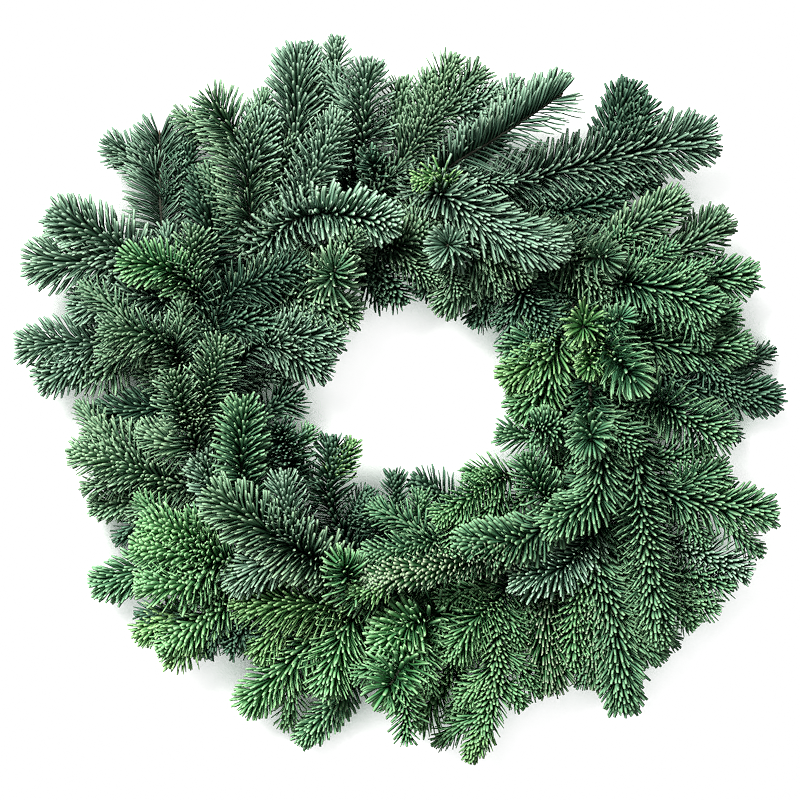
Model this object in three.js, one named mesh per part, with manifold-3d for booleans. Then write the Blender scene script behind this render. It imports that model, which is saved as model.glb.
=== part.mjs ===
// A fresh noble fir wreath lying flat, in millimetres, with +Z up and +Y towards the top of the wreath.
// The origin is the middle of the wreath, on the surface that it lies on.
// Fir sprays are laid clockwise round a wire ring. Clamps on the ring hold their cut ends in bunches.

import * as THREE from "three";
import { mergeVertices } from "three/addons/utils/BufferGeometryUtils.js";
import Module from "manifold-3d";

// Ring and clamps

const RING_RADIUS = 152.4; // a 12 inch ring, to the middle of its wire
const RING_WIRE = 5; // between the flats of the six-sided wire, so that the ring rests on one of them
const WIRE_SIDES = 6;
const RING_FACETS = 28;
const BUNCHES = 14;
const CLAMP_LENGTH = 8; // along the ring
const CLAMP_METAL = 1.6;
const CLAMP_FLOOR = 4.6;
const CLAMP_GAP = 1.4; // from the middle to each of the two bent ends, which don't quite meet

// Twigs

const STEM_WIDTH = 4.2; // across the flats of the square section, where the clamp grips it
const TWIG_WIDTH = 3.2; // where the needles start
const SHOOT_WIDTH = 2.8; // where a side shoot forks off
const TIP_WIDTH = 2.2;
const STEM_SIDES = 4;
const SHOOT_SIDES = 3;
const GRIP = 0.4; // the air left between stems, clamp and ring
const TIP_STUB = 1; // of bare twig past the last whorl
const CURVE_STEPS = 40; // measuring steps between two points of a twig
const CUT_END = 16; // how far a stem stands out behind its clamp
const STRAIGHT = 12; // how far the lowest layer runs on straight in front of it
const EARLIER_TURN = 3.5; // less of that for each layer above, so that the upper stems part first
const PAST_STRAIGHT = 1; // of full-width stem past its straight stretch
const STEM_PITCH = 5; // between the middles of the stems in a clamp

// Needles, in whorls of six or eight raised from short spans of the twig

const NEEDLE_LENGTH = 26;
const NEEDLE_REACH = 1.3; // round the line of a needle, to the corners of its root
const WHORL_SPAN = 2.2; // twig length that one whorl grows from
const WHORL_PITCH = 18;
const WHORL_ROLL = THREE.MathUtils.degToRad(24); // from one whorl to the next, so that they stand in spirals
const BARE_PITCH = 32; // between the rings of a twig where it has no needles
const FORK_TO_NEEDLES = 10;
const REAR_LEAN = THREE.MathUtils.degToRad(68); // away from the twig
const FRONT_LEAN = THREE.MathUtils.degToRad(42);
const TIP_LEAN = 0.55; // of the needles round the bud, as a share of the others
const TIP_LENGTH = 0.8;
const LEAN_SPREAD = 0.14;
const LENGTH_SPREAD = 0.16;
const FLAT_SPREAD = 0.45; // what is left of the up and down of a flat spray's needles
const FLAT_LIFT = 0.12; // how far they all lean up instead
const BRUSH_DROP = 0.5; // what is left of the droop of the needles below a brush
const BRUSH_LIFT = 0.1;
const STEEP = 0.97; // the upward share of a twig's direction past which it counts as upright
const FREE_FROM = 0.35; // of a needle's length: what lies nearer the root may crowd its neighbours
const CLEARANCE = 0.45; // kept between the pieces of different sprays
const SURFACE_CLEARANCE = 1.2; // kept above the surface that the wreath lies on
const TURNS = [0, 12, -12, 25, -25, 40, -40, 60, -60].map(THREE.MathUtils.degToRad);
const HOLE = { x: 6, y: 0, radius: 50 }; // kept free in the middle
const SEED = 2312;

const COLOURS = { silver: 0x5f8a7d, green: 0x3f7347, fresh: 0x6c9a3f, deep: 0x24453a };
const NEEDLE_SURFACE = { metalness: 0, roughness: 0.6 };
const RING_SURFACE = { color: 0x4f5a52, metalness: 0.7, roughness: 0.5 };
const PARALLEL = 1e-9; // two lines that spread less than this count as parallel
const ROUNDING = 1e-6;

// Where a stem lies in its clamp: steps out from the ring's middle and up from the first layer.
const PLACES = {
  under: { out: 0.5, layer: 0 },
  inner: { out: -0.5, layer: 0 },
  outer: { out: 0.5, layer: 1 },
  top: { out: -0.5, layer: 1 },
  extra: { out: 0, layer: 2 },
};

// The sprays. A stem leaves its clamp through the bare points, and carries needles from the first leafy point on.
// It may have side shoots, each from the point of the stem nearest to the shoot's own first point.
// Bunch 0 is clamped at the top of the wreath, and the others follow clockwise.
const SPRAYS = [
  { bunch: 0, place: "under", tint: "deep", habit: "flat",
    bare: [[46, 158, 17]],
    leafy: [[98, 164, 28], [151, 177, 36], [226, 192, 42]],
    shoots: [
      [[151, 177, 36], [160, 196, 38], [171, 226, 42]],
      [[132, 172, 33], [159, 167, 32], [185, 164, 33]],
    ] },
  { bunch: 0, place: "outer", tint: "silver", habit: "flat",
    bare: [[30, 168, 36]],
    leafy: [[49, 179, 48], [75, 194, 58], [119, 223, 68]],
    shoots: [] },
  { bunch: 0, place: "top", tint: "silver", habit: "flat",
    bare: [[19, 154, 42]],
    leafy: [[36, 147, 68], [74, 122, 80], [110, 110, 82]],
    shoots: [
      [[34, 148, 66], [32, 161, 70], [16, 160, 72]],
    ] },
  { bunch: 0, place: "inner", tint: "silver", habit: "brush",
    bare: [[21, 135, 28]],
    leafy: [[41, 120, 50], [67, 107, 58], [91, 94, 60]],
    shoots: [
      [[43, 118, 51], [40, 112, 72], [35, 110, 94]],
      [[61, 109, 56], [63, 92, 46], [53, 79, 40]],
    ] },
  { bunch: 1, place: "under", tint: "deep", habit: "flat",
    bare: [[99, 138, 18]],
    leafy: [[121, 139, 27], [162, 149, 32]],
    shoots: [] },
  { bunch: 1, place: "outer", tint: "silver", habit: "flat",
    bare: [[110, 120, 24]],
    leafy: [[155, 110, 36], [205, 105, 36], [243, 131, 34]],
    shoots: [
      [[151, 111, 36], [180, 127, 44], [212, 146, 48]],
    ] },
  { bunch: 1, place: "top", tint: "green", habit: "brush",
    bare: [[105, 118, 44]],
    leafy: [[140, 103, 68], [152, 101, 90]],
    shoots: [
      [[113, 115, 49], [131, 97, 52], [150, 81, 54]],
    ] },
  { bunch: 1, place: "inner", tint: "deep", habit: "brush",
    bare: [[80, 110, 26]],
    leafy: [[90, 83, 38], [109, 49, 46]],
    shoots: [
      [[88, 90, 35], [91, 72, 33], [76, 58, 34]],
    ] },
  { bunch: 2, place: "under", tint: "green", habit: "flat",
    bare: [[144, 66, 18]],
    leafy: [[182, 43, 28], [219, 36, 34], [264, 36, 38]],
    shoots: [
      [[152, 59, 20], [189, 84, 28], [263, 91, 34]],
    ] },
  { bunch: 2, place: "outer", tint: "fresh", habit: "flat",
    bare: [[143, 88, 36]],
    leafy: [[168, 84, 56], [201, 78, 62], [229, 65, 66]],
    shoots: [] },
  { bunch: 2, place: "top", tint: "green", habit: "rosette",
    bare: [[128, 71, 42]],
    leafy: [[152, 37, 74], [170, 14, 104]],
    shoots: [
      [[138, 58, 58], [138, 53, 72], [135, 50, 88]],
      [[145, 48, 66], [157, 52, 74], [164, 57, 88]],
      [[143, 50, 63], [144, 32, 74], [139, 20, 92]],
    ] },
  { bunch: 2, place: "inner", tint: "fresh", habit: "flat",
    bare: [[118, 64, 26]],
    leafy: [[117, 37, 44], [80, 17, 50]],
    shoots: [] },
  { bunch: 3, place: "under", tint: "deep", habit: "flat",
    bare: [[183, 11, 14]],
    leafy: [[220, 7, 19], [278, -2, 22]],
    shoots: [] },
  { bunch: 3, place: "outer", tint: "green", habit: "flat",
    bare: [[173, -17, 28]],
    leafy: [[192, -67, 40], [226, -80, 44], [272, -88, 48]],
    shoots: [
      [[170, -13, 27], [192, -5, 46], [217, -20, 56], [238, -28, 60]],
      [[205, -73, 42], [221, -64, 46], [237, -59, 48]],
    ] },
  { bunch: 3, place: "extra", tint: "green", habit: "brush",
    bare: [[170, -10, 44]],
    leafy: [[179, -78, 62], [185, -123, 64], [193, -176, 60]],
    shoots: [] },
  { bunch: 3, place: "top", tint: "green", habit: "rosette",
    bare: [[143, 8, 48]],
    leafy: [[142, -22, 80], [140, -33, 104]],
    shoots: [
      [[143, -4, 60], [149, -33, 70], [146, -72, 74], [115, -94, 78]],
      [[143, -11, 66], [158, -26, 70], [171, -37, 74]],
    ] },
  { bunch: 3, place: "inner", tint: "green", habit: "brush",
    bare: [[135, -2, 24]],
    leafy: [[120, -23, 44], [101, -25, 64]],
    shoots: [
      [[127, -14, 34], [110, -31, 32], [83, -29, 35]],
    ] },
  { bunch: 4, place: "under", tint: "green", habit: "flat",
    bare: [[166, -80, 14]],
    leafy: [[190, -137, 22], [231, -158, 26]],
    shoots: [
      [[171, -98, 16], [212, -114, 26], [255, -131, 34]],
    ] },
  { bunch: 4, place: "outer", tint: "green", habit: "brush",
    bare: [[151, -79, 28]],
    leafy: [[146, -124, 38], [160, -166, 42], [172, -218, 42]],
    shoots: [
      [[154, -151, 41], [172, -177, 38], [189, -191, 36]],
      [[150, -94, 31], [124, -128, 50], [90, -136, 60]],
    ] },
  { bunch: 4, place: "top", tint: "silver", habit: "brush",
    bare: [[137, -71, 44]],
    leafy: [[97, -105, 68], [50, -111, 76]],
    shoots: [
      [[121, -88, 56], [107, -74, 66], [95, -51, 72]],
    ] },
  { bunch: 4, place: "inner", tint: "silver", habit: "flat",
    bare: [[112, -54, 32]],
    leafy: [[67, -65, 58], [26, -87, 68]],
    shoots: [] },
  { bunch: 5, place: "under", tint: "fresh", habit: "brush",
    bare: [[116, -133, 18]],
    leafy: [[110, -163, 30], [113, -211, 35]],
    shoots: [] },
  { bunch: 5, place: "outer", tint: "fresh", habit: "brush",
    bare: [[91, -132, 32]],
    leafy: [[75, -158, 46], [72, -214, 48], [59, -261, 42]],
    shoots: [
      [[79, -150, 43], [62, -163, 50], [42, -191, 50]],
    ] },
  { bunch: 5, place: "top", tint: "green", habit: "brush",
    bare: [[90, -118, 46]],
    leafy: [[50, -124, 76], [-16, -135, 82]],
    shoots: [] },
  { bunch: 5, place: "inner", tint: "green", habit: "brush",
    bare: [[79, -103, 34]],
    leafy: [[30, -102, 56], [-26, -104, 62]],
    shoots: [
      [[95, -103, 26], [53, -92, 20], [19, -68, 20]],
    ] },
  { bunch: 6, place: "under", tint: "silver", habit: "brush",
    bare: [[53, -173, 15]],
    leafy: [[42, -203, 22], [17, -244, 28]],
    shoots: [] },
  { bunch: 6, place: "outer", tint: "green", habit: "brush",
    bare: [[38, -156, 34]],
    leafy: [[21, -169, 48], [4, -194, 62], [-9, -219, 74]],
    shoots: [] },
  { bunch: 6, place: "top", tint: "green", habit: "rosette",
    bare: [[19, -148, 40]],
    leafy: [[-28, -147, 66], [-42, -126, 90]],
    shoots: [] },
  { bunch: 6, place: "inner", tint: "deep", habit: "brush",
    bare: [[23, -126, 16]],
    leafy: [[0, -95, 24], [-5, -64, 30]],
    shoots: [] },
  { bunch: 7, place: "under", tint: "silver", habit: "flat",
    bare: [[-23, -187, 10]],
    leafy: [[-42, -226, 14], [-72, -259, 17]],
    shoots: [] },
  { bunch: 7, place: "outer", tint: "green", habit: "flat",
    bare: [[-38, -168, 22]],
    leafy: [[-64, -185, 28], [-112, -231, 28]],
    shoots: [
      [[-47, -172, 24], [-79, -167, 32], [-104, -190, 34]],
    ] },
  { bunch: 7, place: "extra", tint: "silver", habit: "brush",
    bare: [[-26, -158, 32]],
    leafy: [[-38, -171, 40], [-45, -188, 44], [-53, -214, 46]],
    shoots: [
      [[-29, -160, 34], [-56, -158, 42], [-113, -156, 46]],
    ] },
  { bunch: 7, place: "top", tint: "silver", habit: "flat",
    bare: [[-26, -147, 34]],
    leafy: [[-52, -129, 58], [-87, -108, 74], [-132, -78, 78]],
    shoots: [
      [[-71, -118, 66], [-82, -93, 72], [-86, -67, 74]],
      [[-77, -114, 70], [-98, -124, 68], [-119, -136, 64]],
    ] },
  { bunch: 7, place: "inner", tint: "deep", habit: "brush",
    bare: [[-30, -127, 18]],
    leafy: [[-51, -87, 32], [-56, -38, 42]],
    shoots: [
      [[-42, -106, 24], [-36, -91, 30], [-26, -76, 32]],
    ] },
  { bunch: 8, place: "under", tint: "fresh", habit: "brush",
    bare: [[-99, -139, 18]],
    leafy: [[-124, -152, 38], [-173, -186, 46]],
    shoots: [
      [[-134, -159, 40], [-146, -179, 34], [-147, -200, 32]],
      [[-147, -169, 42], [-167, -167, 36], [-190, -177, 34]],
      [[-105, -142, 22], [-140, -137, 20], [-182, -131, 22], [-223, -142, 26]],
    ] },
  { bunch: 8, place: "outer", tint: "fresh", habit: "brush",
    bare: [[-103, -129, 38]],
    leafy: [[-138, -123, 58], [-190, -114, 66]],
    shoots: [] },
  { bunch: 8, place: "top", tint: "silver", habit: "flat",
    bare: [[-101, -102, 42]],
    leafy: [[-117, -60, 66], [-116, -10, 80]],
    shoots: [
      [[-107, -90, 48], [-132, -79, 54], [-146, -52, 62]],
    ] },
  { bunch: 8, place: "inner", tint: "deep", habit: "brush",
    bare: [[-82, -95, 26]],
    leafy: [[-84, -49, 46], [-91, -25, 62]],
    shoots: [] },
  { bunch: 9, place: "under", tint: "silver", habit: "flat",
    bare: [[-149, -80, 12]],
    leafy: [[-182, -78, 18], [-234, -82, 21]],
    shoots: [] },
  { bunch: 9, place: "outer", tint: "silver", habit: "flat",
    bare: [[-147, -70, 32]],
    leafy: [[-173, -66, 40], [-214, -51, 44], [-242, -43, 44]],
    shoots: [] },
  { bunch: 9, place: "top", tint: "fresh", habit: "brush",
    bare: [[-139, -64, 42]],
    leafy: [[-159, -22, 66], [-167, 11, 80]],
    shoots: [
      [[-152, -36, 60], [-143, 4, 68], [-132, 35, 76]],
    ] },
  { bunch: 9, place: "inner", tint: "deep", habit: "brush",
    bare: [[-119, -49, 14]],
    leafy: [[-103, -14, 18], [-82, -4, 22]],
    shoots: [] },
  { bunch: 10, place: "under", tint: "green", habit: "flat",
    bare: [[-166, 13, 20]],
    leafy: [[-204, 37, 28], [-278, 38, 33]],
    shoots: [
      [[-158, -8, 14], [-182, -10, 20], [-229, -15, 24]],
    ] },
  { bunch: 10, place: "outer", tint: "fresh", habit: "flat",
    bare: [[-160, 10, 38]],
    leafy: [[-176, 41, 56], [-215, 47, 66]],
    shoots: [] },
  { bunch: 10, place: "top", tint: "deep", habit: "brush",
    bare: [[-146, 19, 36]],
    leafy: [[-131, 71, 50], [-78, 95, 58]],
    shoots: [
      [[-140, 49, 44], [-116, 55, 46], [-94, 49, 46]],
    ] },
  { bunch: 10, place: "inner", tint: "silver", habit: "flat",
    bare: [[-130, 10, 24]],
    leafy: [[-104, 37, 44], [-60, 17, 52]],
    shoots: [
      [[-127, 14, 27], [-134, 40, 36], [-162, 49, 42]],
    ] },
  { bunch: 11, place: "under", tint: "deep", habit: "flat",
    bare: [[-157, 80, 14]],
    leafy: [[-178, 118, 22], [-182, 197, 28]],
    shoots: [
      [[-182, 155, 25], [-194, 175, 21], [-214, 187, 21]],
      [[-155, 75, 13], [-142, 117, 26], [-149, 162, 34]],
    ] },
  { bunch: 11, place: "outer", tint: "silver", habit: "flat",
    bare: [[-174, 70, 26]],
    leafy: [[-199, 99, 42], [-251, 125, 54]],
    shoots: [
      [[-164, 57, 20], [-172, 69, 38], [-188, 71, 46]],
    ] },
  { bunch: 11, place: "top", tint: "fresh", habit: "brush",
    bare: [[-150, 71, 44]],
    leafy: [[-155, 92, 54], [-153, 117, 64]],
    shoots: [
      [[-152, 74, 46], [-170, 93, 60], [-199, 99, 68]],
    ] },
  { bunch: 11, place: "inner", tint: "silver", habit: "flat",
    bare: [[-130, 72, 26]],
    leafy: [[-83, 74, 42], [-39, 60, 50]],
    shoots: [] },
  { bunch: 12, place: "under", tint: "silver", habit: "flat",
    bare: [[-96, 136, 18]],
    leafy: [[-82, 174, 32], [-76, 250, 46]],
    shoots: [] },
  { bunch: 12, place: "outer", tint: "silver", habit: "flat",
    bare: [[-112, 127, 36]],
    leafy: [[-114, 147, 42], [-118, 184, 48], [-139, 217, 54]],
    shoots: [
      [[-115, 157, 44], [-108, 184, 50], [-103, 205, 54]],
    ] },
  { bunch: 12, place: "top", tint: "silver", habit: "flat",
    bare: [[-92, 123, 44]],
    leafy: [[-61, 135, 68], [-9, 128, 80]],
    shoots: [
      [[-82, 126, 52], [-64, 167, 60], [-48, 201, 66]],
    ] },
  { bunch: 12, place: "inner", tint: "green", habit: "rosette",
    bare: [[-83, 93, 32]],
    leafy: [[-54, 84, 62], [-48, 92, 88]],
    shoots: [] },
  { bunch: 13, place: "under", tint: "green", habit: "brush",
    bare: [[-55, 179, 16]],
    leafy: [[-52, 216, 24], [-48, 257, 30]],
    shoots: [] },
  { bunch: 13, place: "outer", tint: "fresh", habit: "brush",
    bare: [[-39, 161, 32]],
    leafy: [[-29, 184, 42], [-25, 239, 56]],
    shoots: [] },
  { bunch: 13, place: "top", tint: "green", habit: "brush",
    bare: [[-24, 147, 34]],
    leafy: [[4, 179, 44], [30, 210, 50], [56, 237, 54]],
    shoots: [
      [[8, 183, 45], [15, 207, 44], [19, 237, 46]],
      [[3, 178, 44], [0, 200, 40], [2, 228, 42]],
      [[-20, 151, 36], [-18, 165, 50], [-22, 177, 62]],
    ] },
  { bunch: 13, place: "inner", tint: "green", habit: "brush",
    bare: [[-36, 122, 24]],
    leafy: [[-6, 112, 44], [19, 124, 52]],
    shoots: [
      [[-32, 120, 27], [-19, 100, 32], [-2, 73, 36]],
    ] },
];

const wasm = await Module();
wasm.setup();

// Random numbers from 0 to 1, the same in every run: a linear congruential generator.
const MULTIPLIER = 1664525;
const INCREMENT = 1013904223;
const MODULUS = 2 ** 32;
let state = SEED;
function random() {
  state = (state * MULTIPLIER + INCREMENT) % MODULUS;
  return state / MODULUS;
}

const vector = (point) => new THREE.Vector3(...point);
const UP = new THREE.Vector3(0, 0, 1);
const ORIGIN = new THREE.Vector2(0, 0);
const clockAngle = (bunch) => (2 * Math.PI * bunch) / BUNCHES;
const outward = (bunch) => new THREE.Vector3(Math.sin(clockAngle(bunch)), Math.cos(clockAngle(bunch)), 0);
const onward = (bunch) => new THREE.Vector3(Math.cos(clockAngle(bunch)), -Math.sin(clockAngle(bunch)), 0);

function toSolid(geometry) {
  const bare = geometry.clone();
  bare.deleteAttribute("normal");
  bare.deleteAttribute("uv");
  const merged = mergeVertices(bare);
  return new wasm.Manifold(
    new wasm.Mesh({
      numProp: 3,
      vertProperties: new Float32Array(merged.attributes.position.array),
      triVerts: new Uint32Array(merged.index.array),
    }),
  );
}

// The largest closed skin alone: a loose scrap goes, and a hollow sealed between needles is filled.
function largestBody(solid) {
  return solid.decompose().reduce((best, body) => (body.volume() > best.volume() ? body : best));
}

function toMesh(solid, name, place, surface) {
  const { vertProperties, triVerts } = solid.getMesh();
  const geometry = new THREE.BufferGeometry();
  geometry.setAttribute("position", new THREE.BufferAttribute(vertProperties, 3));
  geometry.setIndex(new THREE.BufferAttribute(triVerts, 1));
  geometry.translate(-place.x, -place.y, -place.z);
  geometry.computeVertexNormals();
  const mesh = new THREE.Mesh(geometry, new THREE.MeshStandardMaterial({ ...surface, flatShading: true }));
  mesh.name = name;
  mesh.position.copy(place);
  return mesh;
}

// The wire ring: a six-sided wire with a flat below and above.
function ringGeometry() {
  const corner = RING_WIRE / 2 / Math.cos(Math.PI / WIRE_SIDES);
  const middle = new THREE.Vector2(RING_RADIUS, RING_WIRE / 2);
  const profile = [];
  for (let i = 0; i <= WIRE_SIDES; i += 1) {
    const radius = new THREE.Vector2(corner, 0).rotateAround(ORIGIN, (2 * Math.PI * i) / WIRE_SIDES);
    profile.push(radius.add(middle));
  }
  return new THREE.LatheGeometry(profile, RING_FACETS).rotateX(Math.PI / 2);
}

const CLAMP_REACH = STEM_PITCH / 2 + STEM_WIDTH / 2 + GRIP + CLAMP_METAL;
const layerHeight = (layer) => RING_WIRE + GRIP + STEM_WIDTH / 2 + layer * STEM_PITCH;

function clampTop(bunch) {
  const layers = SPRAYS.filter((spray) => spray.bunch === bunch).map((spray) => PLACES[spray.place].layer);
  return layerHeight(Math.max(...layers)) + STEM_WIDTH / 2 + GRIP + CLAMP_METAL;
}

// A clamp: a metal strip welded to the ring, with both ends bent over the bundle.
function clampGeometry(bunch) {
  const top = clampTop(bunch);
  const inside = CLAMP_REACH - CLAMP_METAL;
  const bottom = CLAMP_FLOOR - CLAMP_METAL;
  const half = [
    [CLAMP_GAP, top],
    [CLAMP_REACH, top],
    [CLAMP_REACH, bottom],
  ];
  const halfInside = [
    [inside, CLAMP_FLOOR],
    [inside, top - CLAMP_METAL],
    [CLAMP_GAP, top - CLAMP_METAL],
  ];
  const mirror = (points) => points.map(([x, y]) => [-x, y]).reverse();
  const outline = [...half, ...mirror(half), ...mirror(halfInside), ...halfInside];
  const shape = new THREE.Shape(outline.map(([x, y]) => new THREE.Vector2(x, y)));
  const geometry = new THREE.ExtrudeGeometry(shape, { depth: CLAMP_LENGTH, bevelEnabled: false });
  return geometry
    .translate(0, 0, -CLAMP_LENGTH / 2)
    .rotateX(Math.PI / 2)
    .translate(RING_RADIUS, 0, 0)
    .rotateZ(Math.PI / 2 - clockAngle(bunch));
}

function clampRing() {
  const solids = [toSolid(ringGeometry())];
  for (let bunch = 0; bunch < BUNCHES; bunch += 1) {
    solids.push(toSolid(clampGeometry(bunch)));
  }
  return toMesh(largestBody(wasm.Manifold.union(solids)), "clamp_ring", new THREE.Vector3(), RING_SURFACE);
}

// The line of a twig, with rings at chosen distances along it.
class TwigCurve extends THREE.CatmullRomCurve3 {
  constructor(points) {
    super(points, false, "centripetal");
    this.arcLengthDivisions = CURVE_STEPS * (points.length - 1);
    this.rings = null;
  }

  distanceTo(pointIndex) {
    return this.getLengths()[CURVE_STEPS * pointIndex];
  }

  setRings(distances) {
    this.rings = distances.map((distance) => super.getUtoTmapping(0, distance));
    this.steps = distances.length - 1;
  }

  getUtoTmapping(u, distance) {
    if (!this.rings) return super.getUtoTmapping(u, distance);
    const ring = Math.min(Math.floor(u * this.steps + ROUNDING), this.steps - 1);
    const part = u * this.steps - ring;
    return this.rings[ring] * (1 - part) + this.rings[ring + 1] * part;
  }
}

// Distances at even steps of about one pitch, with both ends.
function evenly(from, to, pitch) {
  const count = Math.max(1, Math.round((to - from) / pitch));
  return Array.from({ length: count + 1 }, (_, i) => from + ((to - from) * i) / count);
}

function nearestOn(centres, point) {
  const line = new THREE.Line3();
  let best = null;
  for (let i = 0; i + 1 < centres.length; i += 1) {
    line.set(centres[i], centres[i + 1]);
    const candidate = line.closestPointToPoint(point, true, new THREE.Vector3());
    if (!best || candidate.distanceTo(point) < best.distanceTo(point)) best = candidate;
  }
  return best;
}

// A twig's curve, its ring centres, their widths and the first ring of each whorl.
function makeTwig(points, sides, bareDistances, leafyFrom, widthAt) {
  const curve = new TwigCurve(points);
  const length = curve.getLength();
  const whorlStarts = evenly(leafyFrom(curve), length - WHORL_SPAN - TIP_STUB, WHORL_PITCH);
  const bare = bareDistances(curve, whorlStarts[0]);
  const distances = [...bare, ...whorlStarts.flatMap((start) => [start, start + WHORL_SPAN]), length];
  const widths = distances.map((distance) => widthAt(distance, length));
  curve.setRings(distances);
  const whorls = whorlStarts.map((_, i) => bare.length + 2 * i);
  return { curve, sides, centres: curve.getSpacedPoints(curve.steps), widths, whorls };
}

// The stem of a spray runs straight through its clamp, and its needles start at its first leafy point.
function layStem(spray, clampPoint) {
  const cutEnd = clampPoint.clone().addScaledVector(onward(spray.bunch), -CUT_END);
  const straight = STRAIGHT - EARLIER_TURN * PLACES[spray.place].layer;
  const front = clampPoint.clone().addScaledVector(onward(spray.bunch), straight);
  const points = [cutEnd, front, ...spray.bare.map(vector), ...spray.leafy.map(vector)];
  const leafyFrom = (curve) => curve.distanceTo(2 + spray.bare.length);
  const bareDistances = (curve, end) => [0, ...evenly(curve.distanceTo(1), end, BARE_PITCH).slice(0, -1)];
  const gripped = CUT_END + straight + PAST_STRAIGHT;
  const { mapLinear } = THREE.MathUtils;
  const taper = (distance, length) => mapLinear(distance, gripped, length, TWIG_WIDTH, TIP_WIDTH);
  const widthAt = (distance, length) => (distance < gripped ? STEM_WIDTH : taper(distance, length));
  return makeTwig(points, STEM_SIDES, bareDistances, leafyFrom, widthAt);
}

// A side shoot grows from the point of its stem that lies nearest to its own first point.
function layShoot(shoot, stem) {
  const [fork, ...rest] = shoot.map(vector);
  const widthAt = (distance, length) => THREE.MathUtils.lerp(SHOOT_WIDTH, TIP_WIDTH, distance / length);
  const points = [nearestOn(stem.centres, fork), ...rest];
  return makeTwig(points, SHOOT_SIDES, () => [0], () => FORK_TO_NEEDLES, widthAt);
}

function layTwigs(spray, clampPoint) {
  const stem = layStem(spray, clampPoint);
  return [stem, ...spray.shoots.map((shoot) => layShoot(shoot, stem))];
}

// Straight pieces that nothing of another spray may touch, with two ends, a reach round them and an owner.
const taken = [];

function gapBetween(a, b) {
  const across = a.start.clone().sub(b.start);
  const alongA = a.end.clone().sub(a.start);
  const alongB = b.end.clone().sub(b.start);
  const aa = alongA.dot(alongA);
  const bb = alongB.dot(alongB);
  const ab = alongA.dot(alongB);
  const ca = alongA.dot(across);
  const cb = alongB.dot(across);
  const spread = aa * bb - ab * ab;
  let s = spread > PARALLEL ? THREE.MathUtils.clamp((ab * cb - ca * bb) / spread, 0, 1) : 0;
  const t = THREE.MathUtils.clamp((ab * s + cb) / bb, 0, 1);
  s = THREE.MathUtils.clamp((ab * t - ca) / aa, 0, 1);
  return across.addScaledVector(alongA, s).addScaledVector(alongB, -t).length() - a.reach - b.reach;
}

function takeTwig(owner, twig, name) {
  const { centres, widths } = twig;
  for (let i = 0; i + 1 < centres.length; i += 1) {
    const reach = widths[i] * Math.SQRT1_2;
    taken.push({ start: centres[i], end: centres[i + 1], reach, owner, twig: name });
  }
}

function takeClamp(bunch) {
  const top = clampTop(bunch);
  const middle = outward(bunch).multiplyScalar(RING_RADIUS).setZ(top / 2);
  const start = middle.clone().addScaledVector(onward(bunch), -CLAMP_LENGTH / 2);
  const end = middle.clone().addScaledVector(onward(bunch), CLAMP_LENGTH / 2);
  taken.push({ start, end, reach: Math.hypot(CLAMP_REACH, top / 2), owner: "ring", twig: "clamp" });
}

function isClear(needle) {
  const { start, end, owner, twig } = needle;
  if (end.z < SURFACE_CLEARANCE) return false;
  if (Math.hypot(end.x - HOLE.x, end.y - HOLE.y) < HOLE.radius) return false;
  const outer = { ...needle, start: start.clone().lerp(end, FREE_FROM) };
  for (const piece of taken) {
    if (piece.owner === owner && piece.twig === twig) continue;
    const gap = piece.owner === owner ? gapBetween(outer, piece) : gapBetween(needle, piece) - CLEARANCE;
    if (gap < 0) return false;
  }
  return true;
}

// How a habit holds its needles, given which way a root faces.
// Flat sprays hold them out to both sides, brushes lift the lower ones, and rosettes hold them straight out.
function heldDirection(habit, sideways, upward) {
  if (habit === "flat") return [sideways, FLAT_SPREAD * upward + FLAT_LIFT];
  if (habit === "brush") return [sideways, upward < 0 ? BRUSH_DROP * upward + BRUSH_LIFT : upward];
  return [sideways, upward];
}

// The tip of a needle that is clear of all the rest, or null.
function findNeedleTip(owner, twigName, root, along, outwards, lean, length) {
  for (const turn of TURNS) {
    const turned = outwards.clone().applyAxisAngle(along, turn).multiplyScalar(Math.sin(lean));
    const direction = along.clone().multiplyScalar(Math.cos(lean)).add(turned);
    const end = root.clone().addScaledVector(direction, length);
    const needle = { start: root, end, reach: NEEDLE_REACH, owner, twig: twigName };
    if (!isClear(needle)) continue;
    taken.push({ ...needle, start: root.clone().lerp(end, FREE_FROM), twig: "needle" });
    return end;
  }
  return null;
}

function levelFrame(along) {
  const level = Math.abs(along.z) > STEEP ? new THREE.Vector3(along.x, along.y, 0).normalize() : UP;
  const upward = level.clone().addScaledVector(along, -level.dot(along)).normalize();
  return { upward, sideways: along.clone().cross(upward) };
}

// A face with two corners on the rear ring leans back, and the one beside it forward, so that they part.
function raiseNeedle(owner, habit, twigName, twig, face, rear) {
  const { centres, whorls } = twig;
  const root = new THREE.Vector3();
  face.forEach((vertex) => root.addScaledVector(vertex.point, 1 / 3));
  const along = centres[rear + 1].clone().sub(centres[rear]).normalize();
  const facing = root.clone().sub(centres[rear]);
  facing.addScaledVector(along, -facing.dot(along)).normalize();
  const { upward, sideways } = levelFrame(along);
  const [side, up] = heldDirection(habit, facing.dot(sideways), facing.dot(upward));
  const outwards = sideways.multiplyScalar(side).addScaledVector(upward, up).normalize();
  const isRearFace = face.filter((vertex) => vertex.ring === rear).length === 2;
  const isTip = rear === whorls[whorls.length - 1];
  const usualLean = (isRearFace ? REAR_LEAN : FRONT_LEAN) * (isTip ? TIP_LEAN : 1);
  const usualLength = NEEDLE_LENGTH * (isTip ? TIP_LENGTH : 1);
  const lean = usualLean + LEAN_SPREAD * (random() - 0.5);
  const length = usualLength * (1 + LENGTH_SPREAD * (random() - 0.5));
  return findNeedleTip(owner, twigName, root, along, outwards, lean, length);
}

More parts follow.
